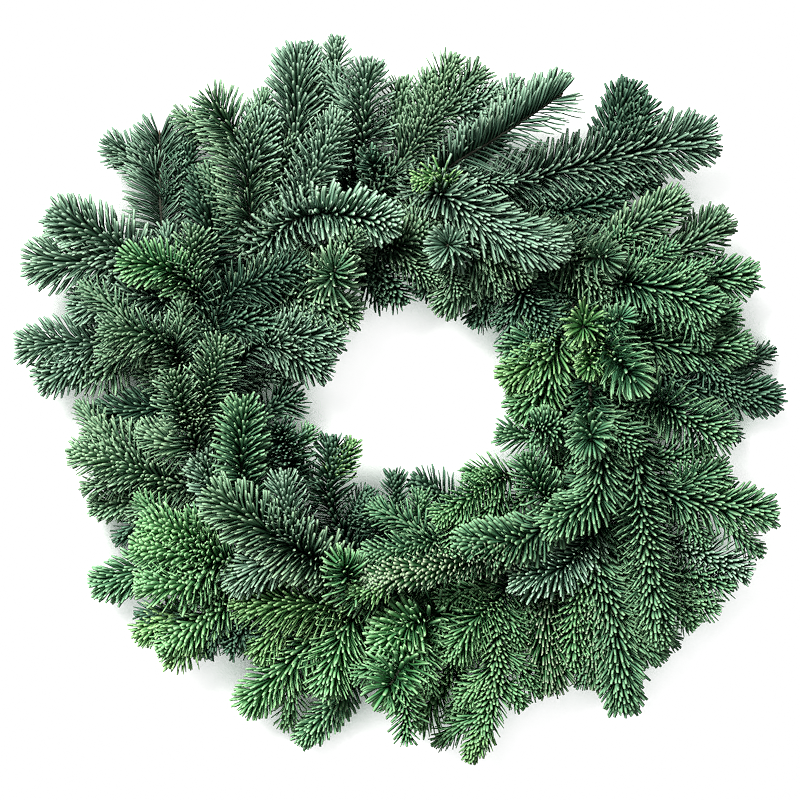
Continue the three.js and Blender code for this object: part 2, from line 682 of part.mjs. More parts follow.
// One twig with its needles. The tube along its curve is tapered and rolled ring by ring, and each face of a
// whorl's short span is then raised to a needle's tip.
function twigGeometry(owner, habit, twigName, twig) {
  const { curve, sides, centres, widths, whorls } = twig;
  const section = new THREE.Shape();
  const corners = Array.from({ length: sides }, (_, i) => (2 * Math.PI * (i + 0.5)) / sides);
  section.setFromPoints(corners.map((angle) => new THREE.Vector2(1, 0).rotateAround(ORIGIN, angle)));
  const options = { steps: curve.steps, bevelEnabled: false, extrudePath: curve };
  const tube = new THREE.ExtrudeGeometry(section, options).attributes.position;
  const tangents = centres.map((_, ring) => curve.getTangentAt(ring / curve.steps));
  const rolls = centres.map((_, ring) => WHORL_ROLL * whorls.filter((first) => first <= ring).length);
  const vertices = [];
  for (let i = 0; i < tube.count; i += 1) {
    const point = new THREE.Vector3().fromBufferAttribute(tube, i);
    const distances = centres.map((centre) => centre.distanceTo(point));
    const ring = distances.indexOf(Math.min(...distances));
    point.sub(centres[ring]).multiplyScalar(widths[ring] * Math.SQRT1_2);
    point.applyAxisAngle(tangents[ring], rolls[ring]).add(centres[ring]);
    vertices.push({ point, ring });
  }
  const positions = [];
  for (let i = 0; i < vertices.length; i += 3) {
    const face = vertices.slice(i, i + 3);
    const [a, b, c] = face.map((vertex) => vertex.point);
    const rear = Math.min(...face.map((vertex) => vertex.ring));
    const front = Math.max(...face.map((vertex) => vertex.ring));
    const isRaised = front > rear && whorls.includes(rear);
    const tip = isRaised ? raiseNeedle(owner, habit, twigName, twig, face, rear) : null;
    const faces = tip ? [a, b, tip, b, c, tip, c, a, tip] : [a, b, c];
    faces.forEach((point) => positions.push(point.x, point.y, point.z));
  }
  const geometry = new THREE.BufferGeometry();
  geometry.setAttribute("position", new THREE.Float32BufferAttribute(positions, 3));
  return geometry;
}

function stemPlace(spray) {
  const { out, layer } = PLACES[spray.place];
  return outward(spray.bunch).multiplyScalar(RING_RADIUS + out * STEM_PITCH).setZ(layerHeight(layer));
}

const sprayName = (spray) => `bunch_${String(spray.bunch + 1).padStart(2, "0")}_${spray.place}_spray`;

function buildWreath() {
  const wreath = new THREE.Group();
  wreath.add(clampRing());
  const laid = SPRAYS.map((spray) => {
    return { spray, name: sprayName(spray), twigs: layTwigs(spray, stemPlace(spray)) };
  });
  laid.forEach(({ name, twigs }) => twigs.forEach((twig, i) => takeTwig(name, twig, i)));
  for (let bunch = 0; bunch < BUNCHES; bunch += 1) {
    takeClamp(bunch);
  }
  for (const { spray, name, twigs } of laid) {
    const pieces = twigs.map((twig, i) => toSolid(twigGeometry(name, spray.habit, i, twig)));
    const fused = largestBody(wasm.Manifold.union(pieces));
    wreath.add(toMesh(fused, name, stemPlace(spray), { color: COLOURS[spray.tint], ...NEEDLE_SURFACE }));
  }
  return wreath;
}

const wreath = buildWreath();

export default wreath;
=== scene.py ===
# %% [markdown]
# # A fresh fir wreath, lying flat
#
# The real thing is a ring of steel wire with fourteen clamps. Each clamp grips a bunch of four or five
# freshly cut noble fir sprays, and all bunches point clockwise, so that each one hides the clamp of the
# next. The CAD model holds the ring and every spray as a plain solid. This lesson keeps their sizes and
# places, and grows the real looks on the same lines: bark, buds and thousands of curved needles.

# %% Load the frame
import math

import bpy
import numpy as np
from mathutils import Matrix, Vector


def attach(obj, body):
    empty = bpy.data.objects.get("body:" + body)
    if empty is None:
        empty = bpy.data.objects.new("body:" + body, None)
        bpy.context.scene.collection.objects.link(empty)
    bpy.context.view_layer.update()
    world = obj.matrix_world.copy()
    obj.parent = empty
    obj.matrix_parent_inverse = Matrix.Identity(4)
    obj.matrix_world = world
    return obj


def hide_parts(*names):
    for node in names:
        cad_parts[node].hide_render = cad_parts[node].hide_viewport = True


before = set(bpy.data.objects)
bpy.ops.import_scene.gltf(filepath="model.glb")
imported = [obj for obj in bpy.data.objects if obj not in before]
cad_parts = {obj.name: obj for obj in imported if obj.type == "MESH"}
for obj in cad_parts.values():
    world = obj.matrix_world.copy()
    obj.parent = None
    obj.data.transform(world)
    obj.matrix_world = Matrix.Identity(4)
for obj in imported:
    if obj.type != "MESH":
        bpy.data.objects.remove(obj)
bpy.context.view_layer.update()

print("CAD nodes:", len(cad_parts))

# %% [markdown]
# ## Units and small tools
#
# Blender measures in metres, and a florist in millimetres. `MM` turns one into the other, so that the
# numbers below can be read as on a ruler. Many points are handled at once as numpy arrays whose last axis
# is x, y and z, because a loop over some hundred thousand points would take minutes.

# %% Units and small tools
MM = 0.001
UP = np.array((0.0, 0.0, 1.0))
TINY = 1e-12  # keeps a direction of no length from being divided by zero


def unit(vectors):
    """The same directions with a length of one."""
    return vectors / np.maximum(np.linalg.norm(vectors, axis=-1, keepdims=True), TINY)


def square_to(vectors, directions):
    """What is left of the vectors at right angles to the directions, with a length of one."""
    return unit(vectors - directions * np.sum(vectors * directions, -1, keepdims=True))


def mix(low, high, share):
    """From low to high, by a share from 0 to 1."""
    return low + (high - low) * share


def ease(share):
    """A smooth step from 0 to 1."""
    share = np.clip(share, 0.0, 1.0)
    return share * share * (3.0 - 2.0 * share)


print("a tenth, a half and nine tenths, eased:", ease(np.array((0.1, 0.5, 0.9))).round(3))

# %% [markdown]
# ## Tubes
#
# A needle, a twig, a bud, a wire and a bent clamp have one thing in common: each is a row of rings of
# points, with a skin of four-cornered faces between them. They could be made with curves and a bevel, but
# then Blender would have to convert hundreds of objects. Here `Skin` collects the rings of as many tubes as
# needed, and makes one mesh of them at the end. It also keeps a few values for each point, such as how far
# along its needle it lies. The materials read those as attributes.

# %% The faces of a tube
def tube_faces(rings, sides, closed):
    """The corners of one tube's faces. Flat caps close its ends, unless it is a closed loop."""
    side = np.arange(sides)
    after = (side + 1) % sides
    ring = np.arange(rings if closed else rings - 1)[:, None]
    here = ring * sides
    ahead = (ring + 1) % rings * sides
    walls = np.stack([here + side, here + after, ahead + after, ahead + side], -1).reshape(-1, 4)
    if closed:
        return walls
    step = np.arange(sides // 2 - 1)
    cap = np.stack([step, step + 1, sides - 2 - step, sides - 1 - step], -1)
    return np.vstack([walls, cap[:, ::-1], cap + (rings - 1) * sides])


print("faces of a tube of four rings with four sides:", len(tube_faces(4, 4, False)))

# %% A skin over rings of points
# shade is painted light and shade: a factor on a needle's colour, below 1 for shade and above it for light
VALUES = ("along", "ridge", "chance", "youth", "shade")  # kept for each point, and 1 where nothing is said


class Skin:
    """Collects tubes and makes one mesh object of them."""

    def __init__(self):
        self.points = []
        self.faces = []
        self.slots = []
        self.values = {name: [] for name in VALUES}
        self.materials = []
        self.size = 0

    def add(self, rings, material, closed=False, **values):
        """Adds tubes of one material: rings has the shape (tubes, rings, sides, 3), in millimetres."""
        tubes, count, sides = rings.shape[:3]
        corners = tube_faces(count, sides, closed)
        first = self.size + np.arange(tubes) * count * sides
        if material not in self.materials:
            self.materials.append(material)
        self.points.append(rings.reshape(-1, 3) * MM)
        self.faces.append((first[:, None, None] + corners).reshape(-1, 4))
        self.slots.append(np.full(tubes * len(corners), self.materials.index(material)))
        for name in VALUES:
            value = np.broadcast_to(values.get(name, 1.0), rings.shape[:3])
            self.values[name].append(value.reshape(-1))
        self.size += tubes * count * sides

    def make(self, name):
        """One smooth mesh object of all that was added."""
        points = np.vstack(self.points)
        faces = np.vstack(self.faces)
        mesh = bpy.data.meshes.new(name)
        mesh.vertices.add(len(points))
        mesh.vertices.foreach_set("co", points.astype(np.float32).ravel())
        mesh.loops.add(faces.size)
        mesh.loops.foreach_set("vertex_index", faces.astype(np.int32).ravel())
        mesh.polygons.add(len(faces))
        mesh.polygons.foreach_set("loop_start", np.arange(0, faces.size, faces.shape[1], dtype=np.int32))
        mesh.polygons.foreach_set("material_index", np.concatenate(self.slots).astype(np.int32))
        for value_name, parts in self.values.items():
            attribute = mesh.attributes.new(value_name, "FLOAT", "POINT")
            attribute.data.foreach_set("value", np.concatenate(parts).astype(np.float32))
        for material in self.materials:
            mesh.materials.append(bpy.data.materials[material])
        mesh.update(calc_edges=True)
        mesh.shade_smooth()
        made = bpy.data.objects.new(name, mesh)
        bpy.context.scene.collection.objects.link(made)
        return made


print("kept for each point:", VALUES)

# %% [markdown]
# ## Finishes
#
# A noble fir needle is a dark green strip with a pale band of wax along it, which makes the tree look blue.
# The wax is thickest on grown needles in the sun. Fresh growth is yellow-green and old needles in the shade
# are nearly black. So every needle material is the same recipe with other colours, and the recipe is worth
# making as node groups: one mixes the tone of a needle from its age, with painted shade at its root, painted
# light further out and a paler end that is partly painted highlight; one lays the wax on it, with painted
# shade along its edges; and one gives the fine grain that needles, bark and buds share. A group is made once
# and placed in each material with its own numbers.

# %% Helpers for nodes
def add_node(tree, kind, inputs=None, **settings):
    """Adds a node, with its settings, and with values or links for its inputs."""
    node = tree.nodes.new(kind)
    for name, value in settings.items():
        setattr(node, name, value)
    for key, value in (inputs or {}).items():
        if isinstance(value, bpy.types.NodeSocket):
            tree.links.new(value, node.inputs[key])
        else:
            node.inputs[key].default_value = value
    return node


def math_node(tree, operation, *values):
    """A Math node's result."""
    return add_node(tree, "ShaderNodeMath", dict(enumerate(values)), operation=operation).outputs[0]


def map_range(tree, value, start, end, low=0.0, high=1.0, smooth=False):
    """A value that goes from low to high while another goes from start to end."""
    inputs = {0: value, 1: start, 2: end, 3: low, 4: high}
    way = "SMOOTHSTEP" if smooth else "LINEAR"
    return add_node(tree, "ShaderNodeMapRange", inputs, interpolation_type=way).outputs[0]


def solid(colour):
    """A colour of red, green and blue with nothing see-through, as sockets want it."""
    return (*colour, 1.0) if isinstance(colour, tuple) else colour


def mix_colours(tree, factor, first, second, blend="MIX"):
    """The colour between two, as a Mix node gives it."""
    inputs = {0: factor, 6: solid(first), 7: solid(second)}
    return add_node(tree, "ShaderNodeMix", inputs, data_type="RGBA", blend_type=blend).outputs[2]


def new_group(name, inputs, outputs):
    """An empty shader node group with named inputs and outputs."""
    tree = bpy.data.node_groups.new(name, "ShaderNodeTree")
    for direction, sockets in (("INPUT", inputs), ("OUTPUT", outputs)):
        for socket_name, kind in sockets.items():
            tree.interface.new_socket(name=socket_name, in_out=direction, socket_type="NodeSocket" + kind)
    start = tree.nodes.new("NodeGroupInput")
    end = tree.nodes.new("NodeGroupOutput")
    return tree, start.outputs, end.inputs


def place_group(tree, name, inputs):
    """Places a node group and gives its outputs."""
    return add_node(tree, "ShaderNodeGroup", inputs, node_tree=bpy.data.node_groups[name]).outputs


def print_group(name):
    """Prints what a node group takes and gives."""
    sockets = bpy.data.node_groups[name].interface.items_tree
    for word, direction in (("takes", "INPUT"), ("gives", "OUTPUT")):
        print(name, word, [socket.name for socket in sockets if socket.in_out == direction])


print("a colour as a socket wants it:", solid((0.1, 0.2, 0.3)))

# %% The tone of a needle
CHANCE_COUNTS = 0.7  # how much chance adds to a needle's youth, half of it up and half of it down
PALE_END_AND_HIGHLIGHT = 0.7  # how much of the end's colour shows at the very end: partly the tip's own paler green, partly painted highlight
ROOT_LIGHT = 0.3  # painted shade: how light a needle is drawn at its root, where its neighbours shade it
LIT_FROM = 0.75  # painted light: the share of its length from which it is drawn fully lit
# painted light: the outer part of a needle is drawn this much lighter than its own colour
FULL_LIGHT = 1.12


def make_needle_tone():
    """Youth and chance choose the tone. The end is paler, partly painted highlight. Painted shade darkens
    the root and painted light brightens the rest, both scaled by the shade value.
    """
    tree, given, result = new_group(
        "Needle_Tone",
        {"Old": "Color", "Young": "Color", "End": "Color", "Along": "Float", "Chance": "Float",
         "Youth": "Float", "Shade": "Float", "Narrow": "Float"},
        {"Colour": "Color"},
    )
    spread = math_node(tree, "MULTIPLY_ADD", given["Chance"], CHANCE_COUNTS, -CHANCE_COUNTS / 2)
    age = add_node(tree, "ShaderNodeClamp", {0: math_node(tree, "ADD", given["Youth"], spread)}).outputs[0]
    grown = mix_colours(tree, age, given["Old"], given["Young"])
    near_end = math_node(tree, "POWER", given["Along"], given["Narrow"])
    paled_and_highlit = mix_colours(tree, math_node(tree, "MULTIPLY", near_end, PALE_END_AND_HIGHLIGHT), grown, given["End"])
    rising = map_range(tree, given["Along"], 0.0, LIT_FROM, ROOT_LIGHT, FULL_LIGHT)
    light = math_node(tree, "MULTIPLY", rising, given["Shade"])
    tree.links.new(mix_colours(tree, 1.0, paled_and_highlit, light, "MULTIPLY"), result["Colour"])


make_needle_tone()
print_group("Needle_Tone")

# %% Wax along the middle of a needle
WAX_FROM, WAX_FULL = 0.3, 0.9  # the ridge runs from 0 on a needle's edge to 1 on its middle
# Painted shade along a needle's edges: how dark they are drawn, and how far in from the edge it reaches.
PAINTED_EDGE_SHADE, EDGE_WIDTH = 0.35, 0.5


def make_wax_and_edge_shade():
    """A pale band of wax along the needle's upper and lower ridges, broken into flecks, and painted shade
    along its edges.
    """
    tree, given, result = new_group(
        "Wax_Band_And_Edge_Shade",
        {"Colour": "Color", "Wax": "Color", "Ridge": "Float", "Amount": "Float", "Flecks": "Float"},
        {"Colour": "Color", "Mask": "Float"},
    )
    band = map_range(tree, given["Ridge"], WAX_FROM, WAX_FULL, smooth=True)
    edge = map_range(tree, given["Ridge"], 0.0, EDGE_WIDTH, PAINTED_EDGE_SHADE, 1.0, smooth=True)
    edge_shaded = mix_colours(tree, 1.0, given["Colour"], edge, "MULTIPLY")
    broken = math_node(tree, "MULTIPLY", band, given["Flecks"])
    mask = math_node(tree, "MULTIPLY", broken, given["Amount"])
    tree.links.new(mix_colours(tree, mask, edge_shaded, given["Wax"]), result["Colour"])
    tree.links.new(mask, result["Mask"])


make_wax_and_edge_shade()
print_group("Wax_Band_And_Edge_Shade")

# %% Fine grain
FINE_DETAIL, COARSE_DETAIL = 2.0, 1.0


def make_grain():
    """Two sizes of noise in the object's own space: a height for bumps and a mask for patches."""
    tree, given, result = new_group(
        "Fine_Grain", {"Fine": "Float", "Coarse": "Float"}, {"Height": "Float", "Patches": "Float"},
    )
    place = tree.nodes.new("ShaderNodeTexCoord").outputs["Object"]
    for scale, detail, wanted in (("Fine", FINE_DETAIL, "Height"), ("Coarse", COARSE_DETAIL, "Patches")):
        inputs = {"Vector": place, "Scale": given[scale], "Detail": detail}
        tree.links.new(add_node(tree, "ShaderNodeTexNoise", inputs).outputs["Fac"], result[wanted])


make_grain()
print_group("Fine_Grain")

# %% A grained surface to start from
# Fine and coarse scale of the noise, least and added roughness, strength and depth of the bumps.
GRAINS = {
    "needles": (900.0, 26.0, 0.34, 0.25, 0.25, 0.2),
    "twig_bark": (1400.0, 120.0, 0.6, 0.3, 0.8, 0.5),
    "bud_resin": (1600.0, 400.0, 0.25, 0.3, 0.6, 0.3),
    "cut_wood": (2500.0, 700.0, 0.6, 0.2, 0.4, 0.2),
    "lacquered_steel": (1200.0, 90.0, 0.2, 0.3, 0.3, 0.2),
    "white_board": (300.0, 4.0, 0.7, 0.1, 0.1, 0.1),
}


def roughen(tree, surface, mask, kind):
    """Roughness that rises with a mask."""
    _, _, least, added, _, _ = GRAINS[kind]
    tree.links.new(math_node(tree, "MULTIPLY_ADD", mask, added, least), surface.inputs["Roughness"])


def start_surface(name, kind):
    """A material with its shader and its grain, which so far shows as bumps."""
    fine, coarse, _, _, strength, depth = GRAINS[kind]
    material = bpy.data.materials.new(name)
    material.use_nodes = True
    tree = material.node_tree
    surface = tree.nodes["Principled BSDF"]
    grain = place_group(tree, "Fine_Grain", {"Fine": fine, "Coarse": coarse})
    height = {"Height": grain["Height"], "Strength": strength, "Distance": depth * MM}
    tree.links.new(add_node(tree, "ShaderNodeBump", height).outputs["Normal"], surface.inputs["Normal"])
    return tree, surface, grain


def attribute(tree, name):
    """A value that the mesh keeps for each point."""
    return add_node(tree, "ShaderNodeAttribute", attribute_name=name).outputs["Fac"]


print("grained surfaces:", list(GRAINS))

# %% [markdown]
# ## Seven greens
#
# The photograph has blue-green sprays at the top and left, and warmer and yellower ones at the lower left
# and right. Each needle material takes five things: the colour of an old and of a young needle, of its very
# end, which is partly the tip's own paler green and partly painted highlight, and of its wax, and how much
# wax there is. Low sprays are "deep", a darker copy of the greens that paints their shade. The "tipped"
# needles are dark with a small pale point, a painted highlight, so their end colour is held to the last
# tenth by a high power. Reflections are tinted green like the needles themselves, because white ones turn
# grey where the needles are dark.

# %% Needle materials
# Old, young, end and wax colours, and how much wax. The end colour is partly the tip's own paler green and
# partly painted highlight.
NEEDLE_COLOURS = {
    "silver": ((0.009, 0.045, 0.026), (0.026, 0.1, 0.053), (0.34, 0.52, 0.36), (0.29, 0.5, 0.35), 0.5),
    "moss": ((0.007, 0.042, 0.018), (0.022, 0.1, 0.037), (0.34, 0.52, 0.31), (0.215, 0.43, 0.27), 0.45),
    "green": ((0.0055, 0.042, 0.017), (0.017, 0.101, 0.036), (0.3, 0.53, 0.28), (0.17, 0.44, 0.25), 0.45),
    "vivid": ((0.005, 0.05, 0.011), (0.016, 0.13, 0.024), (0.325, 0.575, 0.28), (0.165, 0.455, 0.225), 0.44),
    "fresh": ((0.008, 0.055, 0.011), (0.029, 0.158, 0.025), (0.37, 0.61, 0.27), (0.205, 0.49, 0.215), 0.44),
    # tipped: dark needles with a painted highlight at their ends
    "tipped": ((0.004, 0.034, 0.01), (0.011, 0.075, 0.018), (0.56, 0.74, 0.48), (0.15, 0.36, 0.16), 0.25),
    # deep: a darker copy of the greens, painted shade for low and inner sprays
    "deep": ((0.003, 0.021, 0.011), (0.009, 0.046, 0.024), (0.17, 0.32, 0.2), (0.12, 0.29, 0.19), 0.35),
}
# For the tipped needles the end's colour, a painted highlight, is held to the very end.
NARROW = {"tipped": 14.0}  # the power that holds the end's colour to the end
USUAL_NARROW = 4.0
DULL_PATCH, BRIGHT_PATCH = (0.82, 0.8, 0.92), (1.46, 1.22, 1.2)
FLECKS_LEAST, FLECKS_ADDED = 0.55, 0.8
SHEEN_LEVEL, SHEEN_TINT = 0.28, (0.5, 1.0, 0.62, 1.0)


def make_needle_material(tint, old, young, end, wax, wax_amount):
    """One of the greens."""
    tree, surface, grain = start_surface(tint + "_needles", "needles")
    values = {name.capitalize(): attribute(tree, name) for name in ("along", "chance", "youth", "shade")}
    colours = {"Old": solid(old), "Young": solid(young), "End": solid(end)}
    narrow = NARROW.get(tint, USUAL_NARROW)
    tone = place_group(tree, "Needle_Tone", {**colours, **values, "Narrow": narrow})["Colour"]
    patchy = mix_colours(tree, grain["Patches"], DULL_PATCH, BRIGHT_PATCH)
    waxed = place_group(tree, "Wax_Band_And_Edge_Shade", {
        "Colour": mix_colours(tree, 1.0, tone, patchy, "MULTIPLY"), "Wax": solid(wax), "Amount": wax_amount,
        "Ridge": attribute(tree, "ridge"),
        "Flecks": math_node(tree, "MULTIPLY_ADD", grain["Height"], FLECKS_ADDED, FLECKS_LEAST),
    })
    tree.links.new(waxed["Colour"], surface.inputs["Base Color"])
    roughen(tree, surface, waxed["Mask"], "needles")
    surface.inputs["Specular IOR Level"].default_value = SHEEN_LEVEL
    surface.inputs["Specular Tint"].default_value = SHEEN_TINT


for tint, colours in NEEDLE_COLOURS.items():
    make_needle_material(tint, *colours)
print("greens:", list(NEEDLE_COLOURS))

# %% [markdown]
# ## Bark, buds, cut wood and steel
#
# Young fir bark is grey-brown and finely cracked, greener towards the tip. The buds are red-brown with a
# coat of resin. A fresh cut shows pale wood. The ring is steel wire with green lacquer, worn through in a
# few small places. All four start from the same grained surface, so that only their colours are left to
# make. Mixing those by the patches of the grain is simpler than a painted texture, and it fits any shape.

# %% Bark, buds, cut wood and steel
COAT_OF_RESIN = 0.4
WORN_FROM, WORN_THROUGH = 0.62, 0.7  # how strong a patch must be for the lacquer to be worn
CRACKS = (0.5, 0.5, 0.5), (1.5, 1.45, 1.4)  # what they multiply the bark's colour by
OLD_BARK, YOUNG_BARK = (0.013, 0.012, 0.007), (0.016, 0.021, 0.009)
BUD_SCALES = (0.04, 0.028, 0.011), (0.1, 0.055, 0.022)
PALE_WOOD = (0.5, 0.27, 0.11), (0.72, 0.48, 0.26)
GREEN_LACQUER, BARE_STEEL = (0.02, 0.06, 0.032), (0.3, 0.3, 0.29)


def start_patchy(name, first, second):
    """A grained material and the colour that its patches mix."""
    tree, surface, grain = start_surface(name, name)
    roughen(tree, surface, grain["Height"], name)
    return tree, surface, mix_colours(tree, grain["Patches"], first, second)


def make_bark():
    """Cracks darken and lighten a brown that turns greener towards the tip."""
    tree, surface, cracked = start_patchy("twig_bark", *CRACKS)
    aged = mix_colours(tree, attribute(tree, "youth"), OLD_BARK, YOUNG_BARK)
    tree.links.new(mix_colours(tree, 1.0, aged, cracked, "MULTIPLY"), surface.inputs["Base Color"])


def make_bud():
    """Red-brown scales under resin."""
    tree, surface, colour = start_patchy("bud_resin", *BUD_SCALES)
    tree.links.new(colour, surface.inputs["Base Color"])
    surface.inputs["Coat Weight"].default_value = COAT_OF_RESIN


def make_cut_wood():
    """Pale wood."""
    tree, surface, colour = start_patchy("cut_wood", *PALE_WOOD)
    tree.links.new(colour, surface.inputs["Base Color"])


def make_steel():
    """Green lacquer, with bare metal where it is worn through."""
    tree, surface, grain = start_surface("lacquered_steel", "lacquered_steel")
    roughen(tree, surface, grain["Height"], "lacquered_steel")
    worn = map_range(tree, grain["Patches"], WORN_FROM, WORN_THROUGH)
    colour = mix_colours(tree, worn, GREEN_LACQUER, BARE_STEEL)
    tree.links.new(colour, surface.inputs["Base Color"])
    tree.links.new(worn, surface.inputs["Metallic"])


make_bark()
make_bud()
make_cut_wood()
make_steel()
print("materials:", [material.name for material in bpy.data.materials if material.use_nodes])

# %% [markdown]
# ## How a spray grows
#
# Every spray was planned in the CAD part as a few points for its stem and for each side shoot. The same
# points are used here, with a few short shoots added, so that the foliage keeps the form of the plain
# solid. A smooth line runs through them. It could be a Bezier curve, but then its handles would be needed
# too. A Catmull-Rom curve passes through its points with none.

# %% A smooth line
SPAN_STEPS = 32  # measuring steps between two of the given points
TRIAL = ((0, 0, 0), (50, 0, 10), (90, 30, 20))  # a short bent twig, to try the tools on


def smooth_line(given):
    """A centripetal Catmull-Rom curve: SPAN_STEPS points for each span, and the last point."""
    given = np.array(given, dtype=float)
    padded = np.vstack([2 * given[0] - given[1], given, 2 * given[-1] - given[-2]])
    share = np.linspace(0.0, 1.0, SPAN_STEPS, endpoint=False)[:, None]
    line = []
    for p0, p1, p2, p3 in zip(padded, padded[1:], padded[2:], padded[3:]):
        d0, d1, d2 = (np.linalg.norm(b - a) ** 0.5 for a, b in ((p0, p1), (p1, p2), (p2, p3)))
        start = ((p1 - p0) / d0 - (p2 - p0) / (d0 + d1) + (p2 - p1) / d1) * d1
        end = ((p2 - p1) / d1 - (p3 - p1) / (d1 + d2) + (p3 - p2) / d2) * d1
        cubic = 2 * p1 - 2 * p2 + start + end
        square = 3 * p2 - 3 * p1 - 2 * start - end
        line.append(p1 + share * (start + share * (square + share * cubic)))
    return np.vstack([*line, given[-1:]])


print("points on a line through three:", len(smooth_line(TRIAL)))

# %% The line of a twig
LINE_STEP = 1.5  # millimetres between the points kept of a line
FEWEST_POINTS = 4
TURNS_BACK = 0.2  # how far a twig's upper side turns back towards the sky at each step
STEEP = 0.9  # how far up the twig must point for its upper side to be left alone
UPWARDS = 0.95  # and how far for it to start from the side instead


def interpolate(at, known, table):
    """The rows of a table of points, read at any distance between the known ones."""
    return np.stack([np.interp(at, known, table[:, i]) for i in range(3)], -1)


class Twig:
    """A twig's line, and the directions along it: forward, up and to the side."""

    def __init__(self, given):
        fine = smooth_line(given)
        reached = np.concatenate([[0.0], np.cumsum(np.linalg.norm(np.diff(fine, axis=0), axis=1))])
        self.given_at = reached[::SPAN_STEPS]
        self.length = reached[-1]
        self.reached = np.linspace(0.0, self.length, max(FEWEST_POINTS, round(self.length / LINE_STEP)))
        self.line = interpolate(self.reached, reached, fine)
        self.forward = unit(np.gradient(self.line, axis=0))
        self.up = np.empty_like(self.line)
        first = self.forward[0]
        up = UP if abs(first[2]) < UPWARDS else np.array((first[0], first[1], 0.0))
        for i, forward in enumerate(self.forward):
            up = square_to(mix(up, UP, TURNS_BACK if abs(forward[2]) < STEEP else 0.0), forward)
            self.up[i] = up

    def at(self, distance):
        """Places on the twig and the three directions there."""
        place, forward, up = (interpolate(distance, self.reached, table)
                              for table in (self.line, self.forward, self.up))
        forward = unit(forward)
        up = square_to(up, forward)
        return place, forward, up, np.cross(forward, up)

    def at_one(self, distance):
        """One place on the twig and the three directions there."""
        return tuple(rows[0] for rows in self.at(np.array([distance])))

    def nearest(self, point):
        """The place on the twig that lies nearest to a point."""
        return self.line[np.argmin(np.linalg.norm(self.line - np.array(point), axis=1))]


print("length of the trial twig:", round(Twig(TRIAL).length, 1), "mm")

# %% [markdown]
# ## Needles
#
# A needle of noble fir leaves its twig at a narrow angle and bends out at once, like a hockey stick. Then
# it curls back towards the tip. On old wood the needles stand almost square to the twig; near the bud they
# close round it. They grow in a spiral of 137.5 degrees from one to the next, which never puts two in a
# row. Light then decides how they are held. Low sprays hold them out flat, so that the broad sides lie open
# like a feather. Others lift the lower needles like a brush, and a shoot that points up is a star.
#
# Every spray and shoot has a look: one of the seven greens, then a habit, which says how it holds its
# needles, and then words for what is unusual about it. Its needles may be short or long, and fine, broad or
# wide. The whole shoot may be dull, with painted shade where others shade it, or pale, with painted light.
# Its needles may be swept forward, or stand out square to the twig, or lie open like a flower's petals.
# "Right" thins one side and turns its needles on edge.

# %% Words for a look
LENGTHS = {"usual": 25.5, "short": 19.0, "long": 30.5}  # millimetres
HALF_WIDTHS = {"usual": 1.35, "fine": 1.0, "broad": 1.55, "wide": 1.8}
# Painted shade for a dull shoot and painted light for a pale one: factors on the colour of all its needles.
PAINTED_LIGHT_AND_SHADE = {"usual": 1.0, "dull": 0.72, "pale": 1.4}
LEANS = {"usual": 1.0, "swept": 0.8, "square": 1.16, "open": 1.35}
THINNED = {"usual": 0, "right": 1}  # the side with fewer needles


def chosen(look, table):
    """What the words of a look choose from a table."""
    return next((table[word] for word in look.split()[2:] if word in table), table["usual"])


# Even: from 0, which crowds the needles beside the twig, to 1, which spreads their tips evenly as seen from
# above. Spread: how far round from straight up the lowest needle is held, in degrees. Part: how far the
# upper ones are parted to the sides, from 0 to 1. Forward: how far the upper ones lie down along the twig.
# Rise: degrees that they curve up again. Face: how much of the broad side of the needles beside the twig
# turns to the sky. Crowd: how many of the usual number of needles there are. An upright habit holds them
# all above the twig.
WAYS = ("even", "spread", "part", "forward", "rise", "face", "crowd")
HABITS = {habit: dict(zip(WAYS, values)) for habit, values in {
    "comb": (0.2, 100, 0.35, 0.2, 0, 0.9, 0.8),
    "flat": (0.6, 100, 0.05, 0.15, 5, 0.8, 1.0),
    "scale": (0.9, 96, 0.0, 0.4, 5, 0.7, 1.0),
    "brush": (1.0, 98, 0.0, 0.12, 12, 0.4, 1.0),
    "upright": (1.0, 62, 0.0, 0.2, 8, 0.2, 1.0),
    "rosette": (0.0, 180, 0.0, 0.0, 0, 0.0, 0.75),
}.items()}
print("habits:", list(HABITS))

# %% Where needles grow
GOLDEN_TURN = math.radians(137.5)
PLACE_VARIES = 0.4  # of the step from one needle to the next
TURN_VARIES = 0.09
CROWDED_AT_TIP = 1.12  # a power above 1 moves needles towards the tip


def held_turn(habit, turn):
    """How far round the twig needles are held, from straight up, given where they grow."""
    ways = HABITS[habit]
    share = np.abs(turn) / math.pi
    held = ways["spread"] * mix(share, np.arcsin(share) / (math.pi / 2), ways["even"])
    parted = 90 - (90 - held) * (1 - ways["part"])
    return np.sign(turn) * np.radians(np.where(held < 90, parted, held))


def needle_places(rng, look, start, end, per_millimetre):
    """How far along the twig needles grow, and how far round it they are held."""
    habit = look.split()[1]
    count = max(1, round((end - start) * per_millimetre * HABITS[habit]["crowd"]))
    number = np.arange(count)
    order = (number + 0.5 + rng.uniform(-PLACE_VARIES, PLACE_VARIES, count)) / count
    reached = end - (end - start) * order ** CROWDED_AT_TIP
    turn = number * GOLDEN_TURN + rng.normal(0.0, TURN_VARIES, count)
    held = held_turn(habit, (turn + math.pi) % (2 * math.pi) - math.pi)
    kept = (np.sign(held) != chosen(look, THINNED)) | (number % 2 == 0)
    return reached[kept], held[kept]


print("a comb's lowest needle is held at", round(float(np.degrees(held_turn("comb", math.pi)))), "degrees")

